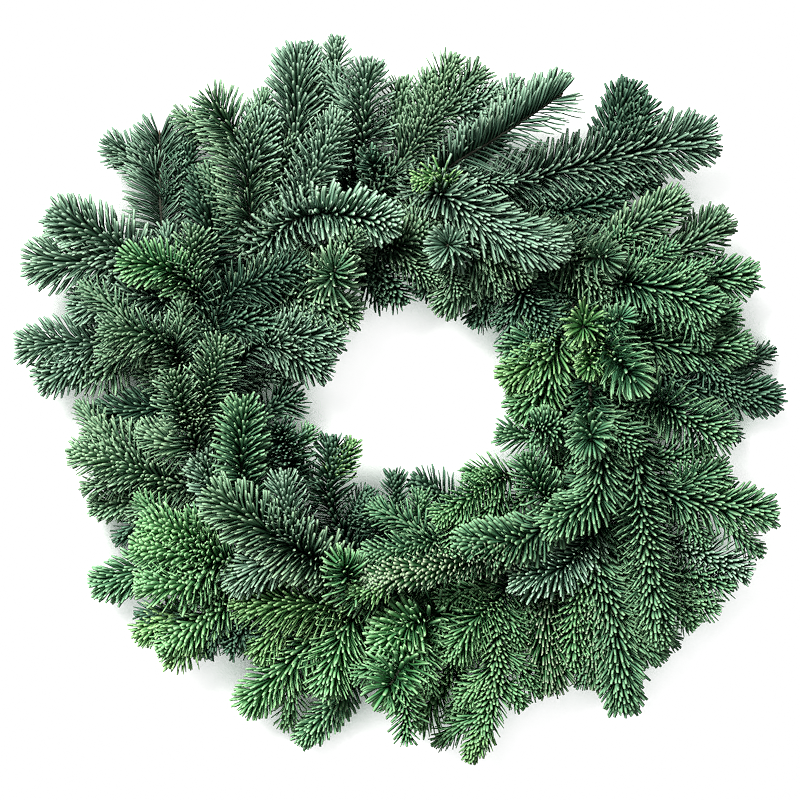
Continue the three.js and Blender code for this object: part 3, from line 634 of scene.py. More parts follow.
# %% How needles bend
BEND_STEPS = 10
FIRST_LEAN = math.radians(32)  # at the needle's root, before it bends out
BENT_WITHIN = 0.1  # the share of its length in which most of that bend lies
LEAN_AT = ([0, 5, 14, 30, 60], [30, 47, 58, 65, 69])  # millimetres left to the twig's tip, and degrees
LENGTH_AT = ([0, 12, 30], [0.64, 0.88, 1.0])  # the same, and shares of the usual length
LEAN_VARIES, SHOOT_LEAN_VARIES, LENGTH_VARIES = 0.05, 0.04, 0.06
CURL, CURL_VARIES, SHOOT_CURL_VARIES = 20.0, 4.5, 4.0  # degrees, back towards the tip
LIFT, LIFT_VARIES = 12.0, 4.5  # degrees, up round the twig
SWAY, ROSETTE_SWAY, SWAY_START_VARIES = 4.5, 14.0, 0.6


def bend_needles(rng, look, left, held, forward, up, side):
    """The length of each needle, and its direction at each bending step."""
    habit, count = look.split()[1], len(held)
    rosette = habit == "rosette"
    ways = HABITS[habit]
    topmost = np.maximum(np.cos(held), 0.0) * (not rosette)
    lean = np.radians(np.interp(left, *LEAN_AT)) * (1.0 - ways["forward"] * topmost) * chosen(look, LEANS)
    lean = lean * rng.normal(1.0, LEAN_VARIES, count) * rng.normal(1.0, SHOOT_LEAN_VARIES)
    length = chosen(look, LENGTHS) * np.interp(left, *LENGTH_AT) * rng.normal(1.0, LENGTH_VARIES, count)
    curl = rng.normal(CURL, CURL_VARIES, count) + rng.normal(0.0, SHOOT_CURL_VARIES)
    curl = np.radians(mix(curl, -ways["rise"], topmost))
    lift = np.radians(rng.normal(LIFT, LIFT_VARIES, count)) * np.sign(held) * (not rosette)
    sway = np.radians(rng.normal(0.0, ROSETTE_SWAY if rosette else SWAY, count))
    sway_start = rng.uniform(0.0, 2 * math.pi) + rng.normal(0.0, SWAY_START_VARIES, count)
    headings = []
    for share in np.arange(BEND_STEPS + 1) / BEND_STEPS:
        opening = mix(FIRST_LEAN, lean, 1.0 - math.exp(-share / BENT_WITHIN))
        opened = opening - curl * share ** 2 + sway * np.sin(2 * math.pi * share + sway_start) * share
        around = held - lift * share ** 2
        outward = np.cos(around)[:, None] * up + np.sin(around)[:, None] * side
        headings.append(forward * np.cos(opened)[:, None] + outward * np.sin(opened)[:, None])
    return length, headings


print("lean 20 mm from a twig's tip:", round(float(np.interp(20, *LEAN_AT))), "degrees")

# %% [markdown]
# ## The shape of a needle
#
# Hair curves would be the quick way to draw needles, but they don't survive an export. So each needle is a
# tube of four flattened four-sided rings, or two where it is deep in the wreath. All needles of a twig are
# bent together, in ten steps, and four of those get a ring. The corners of a ring are its two edges, its
# top and its underside, so the wax can follow the ridges.

# %% A coat of needles
RINGS_AT = {0: 0.6, 4: 1.0, 8: 1.0, 10: 0.6}  # the bending steps that get a ring, and its width
FEWER_RINGS_AT = {0: 0.9, 10: 0.75}
RIDGES = np.array((0.0, 1.0, 0.0, 1.0))
HALF_THICKNESS = 0.45
OUT_FROM_MIDDLE = 0.8  # where a needle starts, beside the middle of its twig
LOWEST = 1.5  # height of the lowest needle's middle above the floor
FACE_VARIES, WIDTH_VARIES = 0.14, 0.08
YOUNG_TO, OLD_FROM = 15.0, 75.0  # millimetres to the twig's tip


def grow_needles(skin, twig, rng, look, start, end, per_millimetre, shade=1.0, rings_at=RINGS_AT):
    """Covers part of a twig with needles."""
    tint, habit = look.split()[:2]
    reached, held = needle_places(rng, look, start, end, per_millimetre)
    place, forward, up, side = twig.at(reached)
    left, count = twig.length - reached, len(held)
    length, headings = bend_needles(rng, look, left, held, forward, up, side)
    facing = HABITS[habit]["face"] * np.abs(np.sin(held)) * (np.sign(held) != chosen(look, THINNED))
    face = mix(forward, up, facing[:, None]) + rng.normal(0.0, FACE_VARIES, (count, 3))
    half_width = chosen(look, HALF_WIDTHS) * rng.normal(1.0, WIDTH_VARIES, count)
    outward = np.cos(held)[:, None] * up + np.sin(held)[:, None] * side
    middle = place + outward * OUT_FROM_MIDDLE
    rings = []
    for step, heading in enumerate(headings):
        if step in rings_at:
            thick = square_to(face, heading)
            across = np.cross(heading, thick) * (half_width * rings_at[step])[:, None]
            through = thick * (HALF_THICKNESS * math.sqrt(rings_at[step]))
            rings.append(np.stack([middle + way for way in (across, through, -across, -through)], 1))
        middle = middle + heading * (length / BEND_STEPS)[:, None]
        middle[:, 2] = np.maximum(middle[:, 2], LOWEST)
    # The shade value paints light and shade: it draws the whole needle darker or lighter.
    skin.add(
        np.stack(rings, 1),
        tint + "_needles",
        along=np.array(list(rings_at))[None, :, None] / BEND_STEPS,
        ridge=RIDGES,
        chance=rng.uniform(0.0, 1.0, count)[:, None, None],
        youth=ease((OLD_FROM - left) / (OLD_FROM - YOUNG_TO))[:, None, None],
        shade=shade * chosen(look, PAINTED_LIGHT_AND_SHADE),
    )
    return count


print("faces of one needle:", len(tube_faces(len(RINGS_AT), len(RIDGES), False)))

# %% [markdown]
# ## Bark, buds and cut ends
#
# Fir bark swells and narrows a little along a twig. The tip of a shoot carries a bud with two small ones
# beside it, and each stem ends in a cut, which can only be seen from the side. All of them are round rings
# on a line. Spheres and cylinders would be quicker to add, but they would have to be bent and joined
# afterwards.

# %% Bark, buds and cut ends
BARK_SIDES = 6
BARK_STEP = 5.0
RADIUS_VARIES = 0.05
BUD_LENGTH = 4.5
BUD_RADIUS = 1.25
BUD_SHAPE = (0.7, 1.0, 0.98, 0.72, 0.4, 0.12)  # shares of its radius, from foot to point
BUDS = ((0.0, 1.0), (0.75, 0.6), (-0.85, 0.6))  # the turn to the side, in radians, and the size
BUD_SUNK = 0.8  # how far a bud's foot sits inside the twig
CUT_THICKNESS, CUT_AHEAD = 0.5, 0.15


def round_rings(place, forward, up, radius, sides=BARK_SIDES):
    """Rings of points round a line."""
    angle = 2 * math.pi * np.arange(sides) / sides
    side = np.cross(forward, up)
    around = np.cos(angle)[:, None] * up[:, None, :] + np.sin(angle)[:, None] * side[:, None, :]
    return place[:, None, :] + around * np.reshape(radius, (-1, 1, 1))


def grow_bark(skin, twig, rng, radii, radius_at=None):
    """A knobbly tube that goes from radius to radius, at the distances given or else from end to end."""
    reached = np.linspace(0.0, twig.length, max(FEWEST_POINTS, round(twig.length / BARK_STEP)))
    place, forward, up, _ = twig.at(reached)
    radius = np.interp(reached, radius_at or (0.0, twig.length), radii)
    rings = round_rings(place, forward, up, radius * rng.normal(1.0, RADIUS_VARIES, len(reached)))
    skin.add(rings[None], "twig_bark", youth=(reached / twig.length)[None, :, None])


def grow_bud(skin, twig, rng):
    """A pointed bud on the tip and two small ones beside it."""
    place, forward, up, side = twig.at_one(twig.length - BUD_SUNK)
    for turn, size in BUDS:
        heading = unit(forward * math.cos(turn) + side * math.sin(turn))
        reach = np.linspace(0.0, BUD_LENGTH * size, len(BUD_SHAPE))
        headings = np.tile(heading, (len(reach), 1))
        ups = np.tile(square_to(up, heading), (len(reach), 1))
        radius = BUD_RADIUS * size * np.array(BUD_SHAPE) * rng.normal(1.0, RADIUS_VARIES, len(reach))
        skin.add(round_rings(place + headings * reach[:, None], headings, ups, radius)[None], "bud_resin")


def grow_cut_end(skin, twig, radius):
    """A pale disc of wood where the stem was cut."""
    place, forward, up, _ = twig.at(np.array([0.0, CUT_THICKNESS]))
    place[0] -= forward[0] * CUT_AHEAD
    skin.add(round_rings(place, forward, up, np.array([radius, radius]))[None], "cut_wood")


print("points of a bud:", len(BUD_SHAPE) * BARK_SIDES)

# %% [markdown]
# ## Fourteen bunches
#
# The stems lie side by side in a clamp, in two or three layers. From there each runs out to its own place.
# Some go outwards low over the floor, some lie across the ring, and some dip into the middle. The table has
# a row for every spray: its bunch, counted clockwise from the top, its place in the clamp, its look, the
# points where it is still bare, the points where it carries full needles, and its side shoots with their
# own looks. The points were read off the photograph from above, and their heights follow from which spray
# covers which. A table keeps all of that in one place, where a spray can be moved without touching the code
# that grows it. All points are in millimetres.

# %% The sprays
SPRAYS = [
    (1, "under", "silver flat long dull", [(46, 158, 17)], [(98, 164, 28), (151, 177, 36), (226, 192, 42)], [
        ("deep flat dull", [(151, 177, 36), (160, 196, 38), (171, 226, 42)]),
        ("deep flat dull", [(132, 172, 33), (159, 167, 32), (185, 164, 33)]),
        ("deep flat dull", [(171, 181, 38), (177, 200, 42), (181, 213, 42)]),
    ]),
    (1, "outer", "silver comb long broad right", [(30, 168, 36)],
     [(49, 179, 48), (75, 194, 58), (119, 223, 68)], []),
    (1, "top", "silver scale long broad", [(19, 154, 42)], [(36, 147, 68), (74, 122, 80), (110, 110, 82)], [
        ("fresh brush short", [(34, 148, 66), (32, 161, 70), (16, 160, 72)]),
    ]),
    (1, "inner", "moss brush broad", [(21, 135, 28)], [(41, 120, 50), (67, 107, 58), (91, 94, 60)], [
        ("silver rosette", [(43, 118, 51), (40, 112, 72), (35, 110, 94)]),
        ("moss brush short", [(61, 109, 56), (63, 92, 46), (53, 79, 40)]),
        ("deep brush broad", [(34, 125, 41), (33, 106, 32), (20, 86, 28)]),
        ("moss flat", [(60, 108, 54), (50, 90, 48), (36, 72, 42)]),
    ]),
    (2, "under", "deep flat square dull", [(99, 138, 18)], [(121, 139, 27), (162, 149, 32)], []),
    (2, "outer", "moss flat dull", [(110, 120, 24)], [(155, 110, 36), (205, 105, 36), (239, 129, 34)], [
        ("moss flat", [(151, 111, 36), (180, 127, 44), (205, 143, 48)]),
    ]),
    (2, "top", "moss rosette dull", [(105, 118, 44)], [(140, 103, 68), (152, 101, 90)], [
        ("moss brush", [(113, 115, 49), (131, 97, 52), (150, 81, 54)]),
    ]),
    (2, "inner", "deep brush", [(80, 110, 26)], [(90, 83, 38), (109, 49, 46)], [
        ("deep brush short", [(88, 90, 35), (91, 72, 33), (76, 58, 34)]),
        ("deep brush broad", [(84, 98, 31), (72, 86, 27), (60, 62, 25)]),
    ]),
    (3, "under", "green flat", [(144, 66, 18)], [(182, 43, 28), (219, 36, 34), (254, 36, 38)], [
        ("green flat", [(152, 59, 20), (189, 84, 28), (259, 89, 34)]),
        ("green flat", [(201, 38, 30), (232, 56, 34), (246, 60, 36)]),
    ]),
    (3, "outer", "green flat", [(143, 88, 36)], [(168, 84, 56), (201, 78, 62), (229, 65, 66)], []),
    (3, "top", "green rosette long broad pale", [(128, 71, 42)], [(152, 37, 74), (170, 14, 104)], [
        ("fresh rosette", [(138, 58, 58), (138, 53, 72), (135, 50, 88)]),
        ("green rosette short", [(145, 48, 66), (157, 52, 74), (164, 57, 88)]),
        ("fresh rosette short", [(143, 50, 63), (144, 32, 74), (139, 20, 92)]),
    ]),
    (3, "inner", "fresh flat broad", [(118, 64, 26)], [(120, 38, 44), (85, 14, 50)], [
        ("green flat", [(118, 50, 36), (104, 42, 44), (86, 32, 46)]),
        ("vivid flat", [(119, 30, 44), (108, 4, 46), (92, -8, 46)]),
    ]),
    (4, "under", "deep flat", [(183, 11, 14)], [(220, 7, 19), (278, -2, 22)], []),
    (4, "outer", "green flat", [(173, -17, 28)], [(192, -67, 40), (226, -80, 44), (272, -88, 48)], [
        ("green brush long", [(170, -13, 27), (192, -5, 46), (217, -20, 56), (238, -28, 60)]),
        ("green flat", [(205, -73, 42), (221, -64, 46), (237, -59, 48)]),
        ("green brush", [(185, -50, 34), (206, -46, 40), (226, -42, 42)]),
    ]),
    (4, "extra", "green brush broad", [(170, -10, 44)],
     [(179, -78, 62), (185, -123, 64), (193, -176, 60)], []),
    (4, "top", "green rosette broad", [(143, 8, 48)], [(142, -22, 80), (140, -33, 104)], [
        ("green flat", [(143, -4, 60), (149, -33, 70), (146, -72, 74), (115, -94, 78)]),
        ("green brush dull", [(143, -11, 66), (158, -26, 70), (171, -37, 74)]),
    ]),
    (4, "inner", "green brush", [(135, -2, 24)], [(120, -23, 44), (101, -25, 64)], [
        ("green brush", [(127, -14, 34), (110, -31, 32), (83, -29, 35)]),
    ]),
    (5, "under", "green brush pale", [(166, -80, 14)], [(190, -137, 22), (231, -158, 26)], [
        ("silver brush pale", [(171, -98, 16), (212, -114, 26), (255, -131, 34)]),
        ("green brush", [(190, -137, 22), (220, -136, 30), (242, -142, 34)]),
        ("green brush pale", [(190, -137, 22), (208, -158, 28), (216, -168, 30)]),
    ]),
    (5, "outer", "green flat broad", [(151, -79, 28)], [(146, -124, 38), (160, -166, 42), (167, -228, 42)], [
        ("green flat swept", [(154, -151, 41), (172, -177, 38), (189, -191, 36)]),
        ("tipped flat swept", [(150, -140, 39), (147, -180, 38), (152, -210, 36)]),
        ("vivid brush", [(148, -122, 37), (135, -156, 36), (131, -196, 36)]),
        ("silver flat pale", [(150, -94, 31), (124, -128, 50), (90, -136, 60)]),
    ]),
    (5, "top", "green flat wide", [(137, -71, 44)], [(97, -105, 68), (50, -111, 76)], [
        ("green brush", [(121, -88, 56), (107, -74, 66), (95, -51, 72)]),
    ]),
    (5, "inner", "vivid brush short", [(112, -54, 32)], [(67, -67, 58), (30, -90, 68)], [
        ("vivid brush short", [(84, -62, 48), (70, -58, 50), (54, -60, 52)]),
    ]),
    (6, "under", "tipped scale swept long", [(116, -133, 18)], [(110, -163, 30), (113, -211, 35)], []),
    (6, "outer", "vivid brush short broad", [(91, -132, 32)],
     [(75, -158, 46), (72, -214, 48), (59, -261, 42)], [
        ("vivid brush", [(79, -150, 43), (62, -163, 50), (42, -191, 50)]),
        ("fresh brush short", [(66, -240, 45), (60, -256, 44), (55, -267, 42)]),
        ("vivid brush short", [(72, -214, 48), (82, -220, 46), (88, -228, 44)]),
        ("vivid brush short", [(73, -200, 48), (60, -216, 46), (48, -228, 44)]),
    ]),
    (6, "top", "tipped upright wide", [(90, -118, 46)], [(50, -124, 76), (-16, -135, 82)], [
        ("fresh brush short", [(-2, -133, 81), (-16, -141, 81), (-30, -143, 78)]),
    ]),
    (6, "inner", "green brush broad short", [(79, -103, 34)], [(28, -110, 56), (-22, -119, 62)], [
        ("deep brush", [(95, -103, 26), (53, -92, 20), (19, -68, 20)]),
    ]),
    (7, "under", "vivid brush pale", [(53, -173, 15)], [(42, -203, 22), (17, -244, 28)], [
        ("vivid brush", [(30, -224, 25), (10, -228, 28), (-6, -229, 30)]),
    ]),
    (7, "outer", "vivid rosette long wide pale open", [(38, -156, 34)],
     [(21, -169, 48), (5, -197, 62), (-9, -217, 84)], [
        ("vivid flat long wide pale", [(22, -166, 46), (8, -172, 56), (-10, -184, 60)]),
    ]),
    (7, "top", "vivid rosette broad", [(19, -148, 40)], [(-28, -147, 66), (-42, -126, 90)], []),
    (7, "inner", "deep brush short", [(23, -126, 16)], [(0, -97, 24), (-4, -64, 30)], [
        ("green brush short", [(20, -124, 20), (14, -100, 30), (16, -78, 34)]),
        ("deep brush", [(20, -124, 20), (-10, -108, 26), (-22, -86, 30)]),
    ]),
    (8, "under", "green flat short pale", [(-23, -187, 10)], [(-42, -226, 14), (-72, -259, 17)], []),
    (8, "outer", "vivid flat pale", [(-38, -168, 22)], [(-64, -185, 28), (-112, -231, 28)], [
        ("fresh flat", [(-47, -172, 24), (-79, -167, 32), (-104, -190, 34)]),
        ("deep brush", [(-64, -185, 28), (-96, -178, 26), (-124, -184, 24)]),
    ]),
    (8, "extra", "vivid brush long pale", [(-26, -158, 32)],
     [(-38, -171, 40), (-45, -188, 44), (-53, -214, 46)], [
        ("fresh brush long", [(-29, -160, 34), (-56, -158, 42), (-113, -156, 46)]),
    ]),
    (8, "top", "moss flat long", [(-26, -147, 34)], [(-52, -129, 58), (-87, -108, 74), (-132, -78, 78)], [
        ("silver brush", [(-71, -118, 66), (-82, -93, 72), (-86, -67, 74)]),
        ("silver flat", [(-77, -114, 70), (-98, -124, 68), (-119, -136, 64)]),
    ]),
    (8, "inner", "deep brush broad", [(-30, -127, 18)], [(-51, -87, 32), (-51, -40, 42)], [
        ("deep brush short", [(-42, -106, 24), (-36, -91, 30), (-26, -76, 32)]),
        ("fresh brush short", [(-52, -70, 36), (-44, -52, 40), (-38, -40, 42)]),
    ]),
    (9, "under", "vivid brush pale wide", [(-99, -139, 18)], [(-124, -152, 38), (-173, -186, 46)], [
        ("fresh brush pale", [(-134, -159, 40), (-146, -173, 34), (-152, -184, 32)]),
        ("fresh brush pale", [(-147, -169, 42), (-167, -167, 36), (-190, -177, 34)]),
        ("green flat pale", [(-105, -142, 22), (-140, -137, 20), (-182, -131, 22), (-223, -142, 26)]),
        ("fresh brush pale", [(-150, -170, 42), (-160, -184, 38), (-168, -195, 36)]),
    ]),
    (9, "outer", "vivid brush wide pale", [(-103, -129, 38)], [(-138, -123, 58), (-190, -114, 66)], [
        ("vivid brush wide pale", [(-132, -125, 54), (-156, -106, 62), (-184, -98, 66)]),
        ("vivid brush wide pale", [(-132, -125, 54), (-160, -140, 62), (-186, -140, 64)]),
    ]),
    (9, "top", "green flat", [(-101, -102, 42)], [(-117, -60, 66), (-116, -10, 80)], [
        ("silver flat", [(-107, -90, 48), (-132, -79, 54), (-146, -52, 62)]),
    ]),
    (9, "inner", "deep brush", [(-82, -95, 26)], [(-84, -49, 46), (-91, -25, 62)], [
        ("green brush short", [(-83, -55, 44), (-76, -40, 46), (-70, -30, 46)]),
    ]),
    (10, "under", "moss flat pale short", [(-149, -80, 12)], [(-182, -78, 18), (-228, -84, 21)], []),
    (10, "outer", "moss brush pale broad", [(-147, -70, 32)],
     [(-173, -66, 40), (-214, -51, 44), (-237, -45, 44)], [
        ("moss flat", [(-190, -60, 42), (-208, -40, 42), (-226, -30, 40)]),
    ]),
    (10, "top", "moss brush", [(-139, -64, 42)], [(-159, -22, 66), (-167, 11, 80)], [
        ("moss brush", [(-152, -36, 60), (-143, 4, 68), (-132, 35, 76)]),
        ("moss brush", [(-150, -40, 58), (-166, -38, 56), (-184, -30, 52)]),
    ]),
    (10, "inner", "deep brush", [(-119, -49, 14)], [(-103, -14, 18), (-82, -4, 22)], []),
    (11, "under", "silver flat square", [(-166, 13, 20)], [(-204, 37, 28), (-278, 38, 33)], [
        ("deep flat", [(-158, -8, 14), (-182, -10, 20), (-224, -16, 24)]),
        ("moss flat", [(-204, 37, 28), (-222, 22, 26), (-243, 17, 26)]),
        ("silver flat", [(-225, 38, 30), (-246, 24, 30), (-264, 14, 30)]),
    ]),
    (11, "outer", "moss brush", [(-160, 10, 38)], [(-176, 41, 56), (-215, 47, 66)], []),
    (11, "top", "deep brush dull", [(-146, 19, 36)], [(-131, 71, 50), (-78, 95, 58)], [
        ("deep brush", [(-140, 49, 44), (-116, 55, 46), (-94, 49, 46)]),
    ]),
    (11, "inner", "silver flat dull", [(-130, 10, 24)], [(-104, 37, 44), (-60, 22, 52)], [
        ("moss flat", [(-127, 14, 27), (-134, 40, 36), (-162, 49, 42)]),
        ("silver flat", [(-104, 37, 44), (-78, 44, 50), (-52, 42, 52)]),
    ]),
    (12, "under", "silver comb dull fine square long", [(-157, 80, 14)],
     [(-178, 118, 22), (-182, 197, 28)], [
        ("silver flat fine dull", [(-182, 155, 25), (-194, 175, 21), (-214, 187, 21)]),
        ("deep flat dull", [(-155, 75, 13), (-142, 117, 26), (-149, 162, 34)]),
        ("deep brush short dull", [(-181, 140, 25), (-163, 168, 30), (-156, 192, 32)]),
    ]),
    (12, "outer", "silver flat long broad", [(-174, 70, 26)], [(-199, 103, 42), (-251, 132, 54)], [
        ("silver flat", [(-164, 57, 20), (-172, 69, 38), (-190, 74, 44), (-238, 68, 42)]),
        ("silver flat long", [(-199, 99, 42), (-232, 100, 44), (-268, 100, 44)]),
    ]),
    (12, "top", "moss brush", [(-150, 71, 44)], [(-155, 92, 54), (-153, 117, 64)], [
        ("vivid flat", [(-152, 74, 46), (-170, 93, 60), (-199, 99, 68)]),
    ]),
    (12, "inner", "moss flat pale", [(-130, 72, 26)], [(-83, 74, 42), (-39, 60, 50)], []),
    (13, "under", "silver flat long", [(-96, 136, 18)], [(-82, 174, 32), (-76, 250, 46)], []),
    (13, "outer", "moss flat long fine square", [(-112, 127, 36)],
     [(-114, 147, 42), (-118, 184, 48), (-139, 217, 54)], [
        ("silver flat", [(-115, 157, 44), (-108, 184, 50), (-103, 205, 54)]),
    ]),
    (13, "top", "silver flat wide square pale", [(-92, 123, 44)], [(-61, 135, 68), (-9, 128, 80)], [
        ("silver brush", [(-82, 126, 52), (-64, 167, 60), (-48, 201, 66)]),
    ]),
    (13, "inner", "moss rosette long pale", [(-83, 93, 32)], [(-54, 84, 62), (-48, 92, 88)], []),
    (14, "under", "silver brush short", [(-55, 179, 16)], [(-52, 216, 24), (-48, 263, 30)], []),
    (14, "outer", "silver brush long", [(-39, 161, 32)], [(-29, 184, 42), (-25, 239, 56)], []),
    (14, "top", "moss brush dull", [(-24, 147, 34)], [(4, 179, 44), (30, 210, 50), (56, 237, 54)], [
        ("moss brush", [(8, 183, 45), (15, 207, 44), (22, 232, 46)]),
        ("moss brush", [(3, 178, 44), (0, 200, 40), (2, 228, 42)]),
        ("deep rosette short", [(-20, 151, 36), (-18, 165, 50), (-22, 177, 62)]),
        ("moss brush", [(16, 195, 47), (28, 222, 50), (37, 244, 50)]),
        ("silver brush", [(30, 210, 50), (48, 214, 52), (66, 223, 52)]),
    ]),
    (14, "inner", "moss brush broad", [(-36, 122, 24)], [(-6, 112, 44), (19, 124, 52)], [
        ("deep brush broad", [(-32, 120, 27), (-19, 100, 32), (-2, 75, 36)]),
        ("deep brush broad", [(-34, 121, 25), (-10, 113, 28), (12, 98, 30)]),
        ("deep brush broad", [(-34, 118, 26), (-30, 98, 30), (-16, 76, 34)]),
    ]),
]
print("sprays:", len(SPRAYS), "side shoots:", sum(len(row[-1]) for row in SPRAYS))

# %% How a stem lies in its clamp
RING_RADIUS = 152.4
WIRE = 5.0
BUNCHES = 14
CLAMP_LENGTH = 8.0
GRIP = 0.4  # the room between a stem and its clamp
STEM_WIDTH = 4.2
STEM_PITCH = 5.0
CUT_END = 16.0  # from the clamp's middle back to the cut
STRAIGHT = 12.0  # from the clamp's middle on to where a stem may bend
EARLIER_TURN = 3.5  # how much earlier each higher layer bends
PLACES = {  # steps out from the ring's wire, and the layer
    "under": (0.5, 0), "inner": (-0.5, 0), "outer": (0.5, 1), "top": (-0.5, 1), "extra": (0.0, 2),
}


def clock_directions(bunch):
    """Outward from the ring's middle, and onward along the ring, at a bunch's clamp."""
    angle = 2 * math.pi * (bunch - 1) / BUNCHES
    sine, cosine = math.sin(angle), math.cos(angle)
    return np.array((sine, cosine, 0.0)), np.array((cosine, -sine, 0.0))


def layer_height(layer):
    """The height of the middle of the stems in a layer."""
    return WIRE + GRIP + STEM_WIDTH / 2 + layer * STEM_PITCH


def lay_stem(bunch, place, bare, leafy):
    """The stem of a spray: straight through its clamp, and then through its points."""
    steps_out, layer = PLACES[place]
    outward, onward = clock_directions(bunch)
    clamped = outward * (RING_RADIUS + steps_out * STEM_PITCH) + UP * layer_height(layer)
    front = clamped + onward * (STRAIGHT - EARLIER_TURN * layer)
    return Twig([clamped - onward * CUT_END, front, *bare, *leafy])


def full_from(stem, bare):
    """How far along the stem its full needles start: at the first point after the bare ones."""
    return stem.given_at[2 + len(bare)]


print("heights of the layers:", [round(layer_height(layer), 1) for layer in range(3)], "mm")

# %% [markdown]
# ## Small side twigs
#
# Between the large shoots, the photograph shows dark, crowded foliage and almost none of the surface. It
# comes from the small side twigs low in each spray, which are drawn darker too, with painted shade. Placing
# them by hand would take hundreds of points.
# Instead each low stem tries one every 17 mm, to the left and the right in turn, and keeps it only where
# its tip ends under or close beside a shoot that the table already has. So the wreath's outline and its
# hole stay as they were planned. Three circles are kept free as well: the hole itself and two places where
# the photograph shows a gap.

# %% Small side twigs
SIDE_PITCH = 17.0
SIDE_SHIFT = 5.0  # how far the whole row may be shifted
SHORTEST_LEFT = 12.0  # no side twigs this near the tip
SIDE_REACH = (32.0, 54.0)
SIDE_LEAN = math.radians(48)
SINKING = 0.25  # how much a side twig points down where it leaves the stem
TIP_FORWARD, TIP_RISE = 0.4, (-0.2, 0.15)
LOWEST_TIP = 6.0
COVERED = 26.0  # how near the tip must lie to another shoot, as seen from above
KEPT_OPEN = ((5, 0, 84), (118, 204, 34), (-42, -80, 22))  # circles that no tip may lie in: x, y and radius
EVERY_FOURTH = slice(None, None, 4)


def leafy_lines(row):
    """The lines of a spray's stem and shoots, as seen from above."""
    bunch, place, _, bare, leafy, shoots = row
    stem = lay_stem(bunch, place, bare, leafy)
    lines = [stem.line[stem.reached > full_from(stem, bare)]]
    lines += [Twig([stem.nearest(fork), *rest]).line for _, (fork, *rest) in shoots]
    return np.vstack(lines)[EVERY_FOURTH, :2]


def lay_side_twigs(stem, rng, first, others):
    """Small side twigs to both sides of a low stem, wherever the shoots of other sprays cover their tips."""
    side_twigs = []
    hand = rng.choice((-1, 1))
    shift = rng.uniform(-SIDE_SHIFT, SIDE_SHIFT)
    for distance in np.arange(first, stem.length - SHORTEST_LEFT, SIDE_PITCH) + shift:
        hand = -hand
        place, forward, up, side = stem.at_one(max(distance, first))
        half = rng.uniform(*SIDE_REACH) / 2
        heading = unit(forward * math.cos(SIDE_LEAN) + side * hand * math.sin(SIDE_LEAN) - up * SINKING)
        middle = place + heading * half
        tip = middle + unit(heading + forward * TIP_FORWARD + UP * rng.uniform(*TIP_RISE)) * half
        tip[2] = max(tip[2], LOWEST_TIP)
        covered = np.min(np.linalg.norm(others - tip[:2], axis=1)) < COVERED
        if covered and all(math.hypot(tip[0] - x, tip[1] - y) > radius for x, y, radius in KEPT_OPEN):
            side_twigs.append(Twig([place, middle, tip]))
    return side_twigs


LEAFY = [leafy_lines(row) for row in SPRAYS]
print("points that side twigs may hide under:", sum(len(lines) for lines in LEAFY))

# %% [markdown]
# ## Growing the sprays
#
# A spray is grown in the order in which it would be drawn: the bark and the cut end of its stem, its
# needles and its bud, then its side shoots and its small side twigs. Each spray has its own seeded source
# of chance, so that a change to one leaves all others as they were. One mesh for each spray keeps the
# pieces in step with the CAD nodes that they replace.

# %% Growing a spray
SEED = 2312
DENSITY = 2.5  # needles on a millimetre of twig
SPARSE = 1.5  # the same where the twig is still deep in the wreath
SIDE_DENSITY = 1.9
# Painted shade for the needles deep in the wreath and for the small side twigs.
SPARSE_SHADE, SIDE_SHADE = 0.6, 0.75
NEEDLES_BEFORE = 6.0  # how far before its first leafy point a stem has full needles
CLEAR_OF_CLAMP, THINNER_WITHIN = 2.0, 6.0
FORK_TO_NEEDLES, SIDE_FORK_TO_NEEDLES = 4.0, 3.0
TIP_TO_NEEDLES, SIDE_TIP_TO_NEEDLES = 0.5, 0.3
STEM_RADII = (STEM_WIDTH / 2, 1.75, 1.1)  # at the cut, past the clamp and at the tip
SHOOT_RADII, SIDE_RADII, STUB_RADII = (1.4, 1.0), (1.2, 0.9), (2.3, 2.6)
CUT_RADIUS, STUB_CUT_RADIUS = 1.7, 2.4
PRUNED = {(12, "under"): ((-182, 111, 34), (-178, 118, 22))}  # the cut and the foot of a pruned side shoot


def grow_shoot(skin, twig, rng, look, start):
    """The needles and the bud of a stem or shoot. A rosette hides its bud."""
    needles = grow_needles(skin, twig, rng, look, start, twig.length - TIP_TO_NEEDLES, DENSITY)
    if "rosette" not in look:
        grow_bud(skin, twig, rng)
    return needles


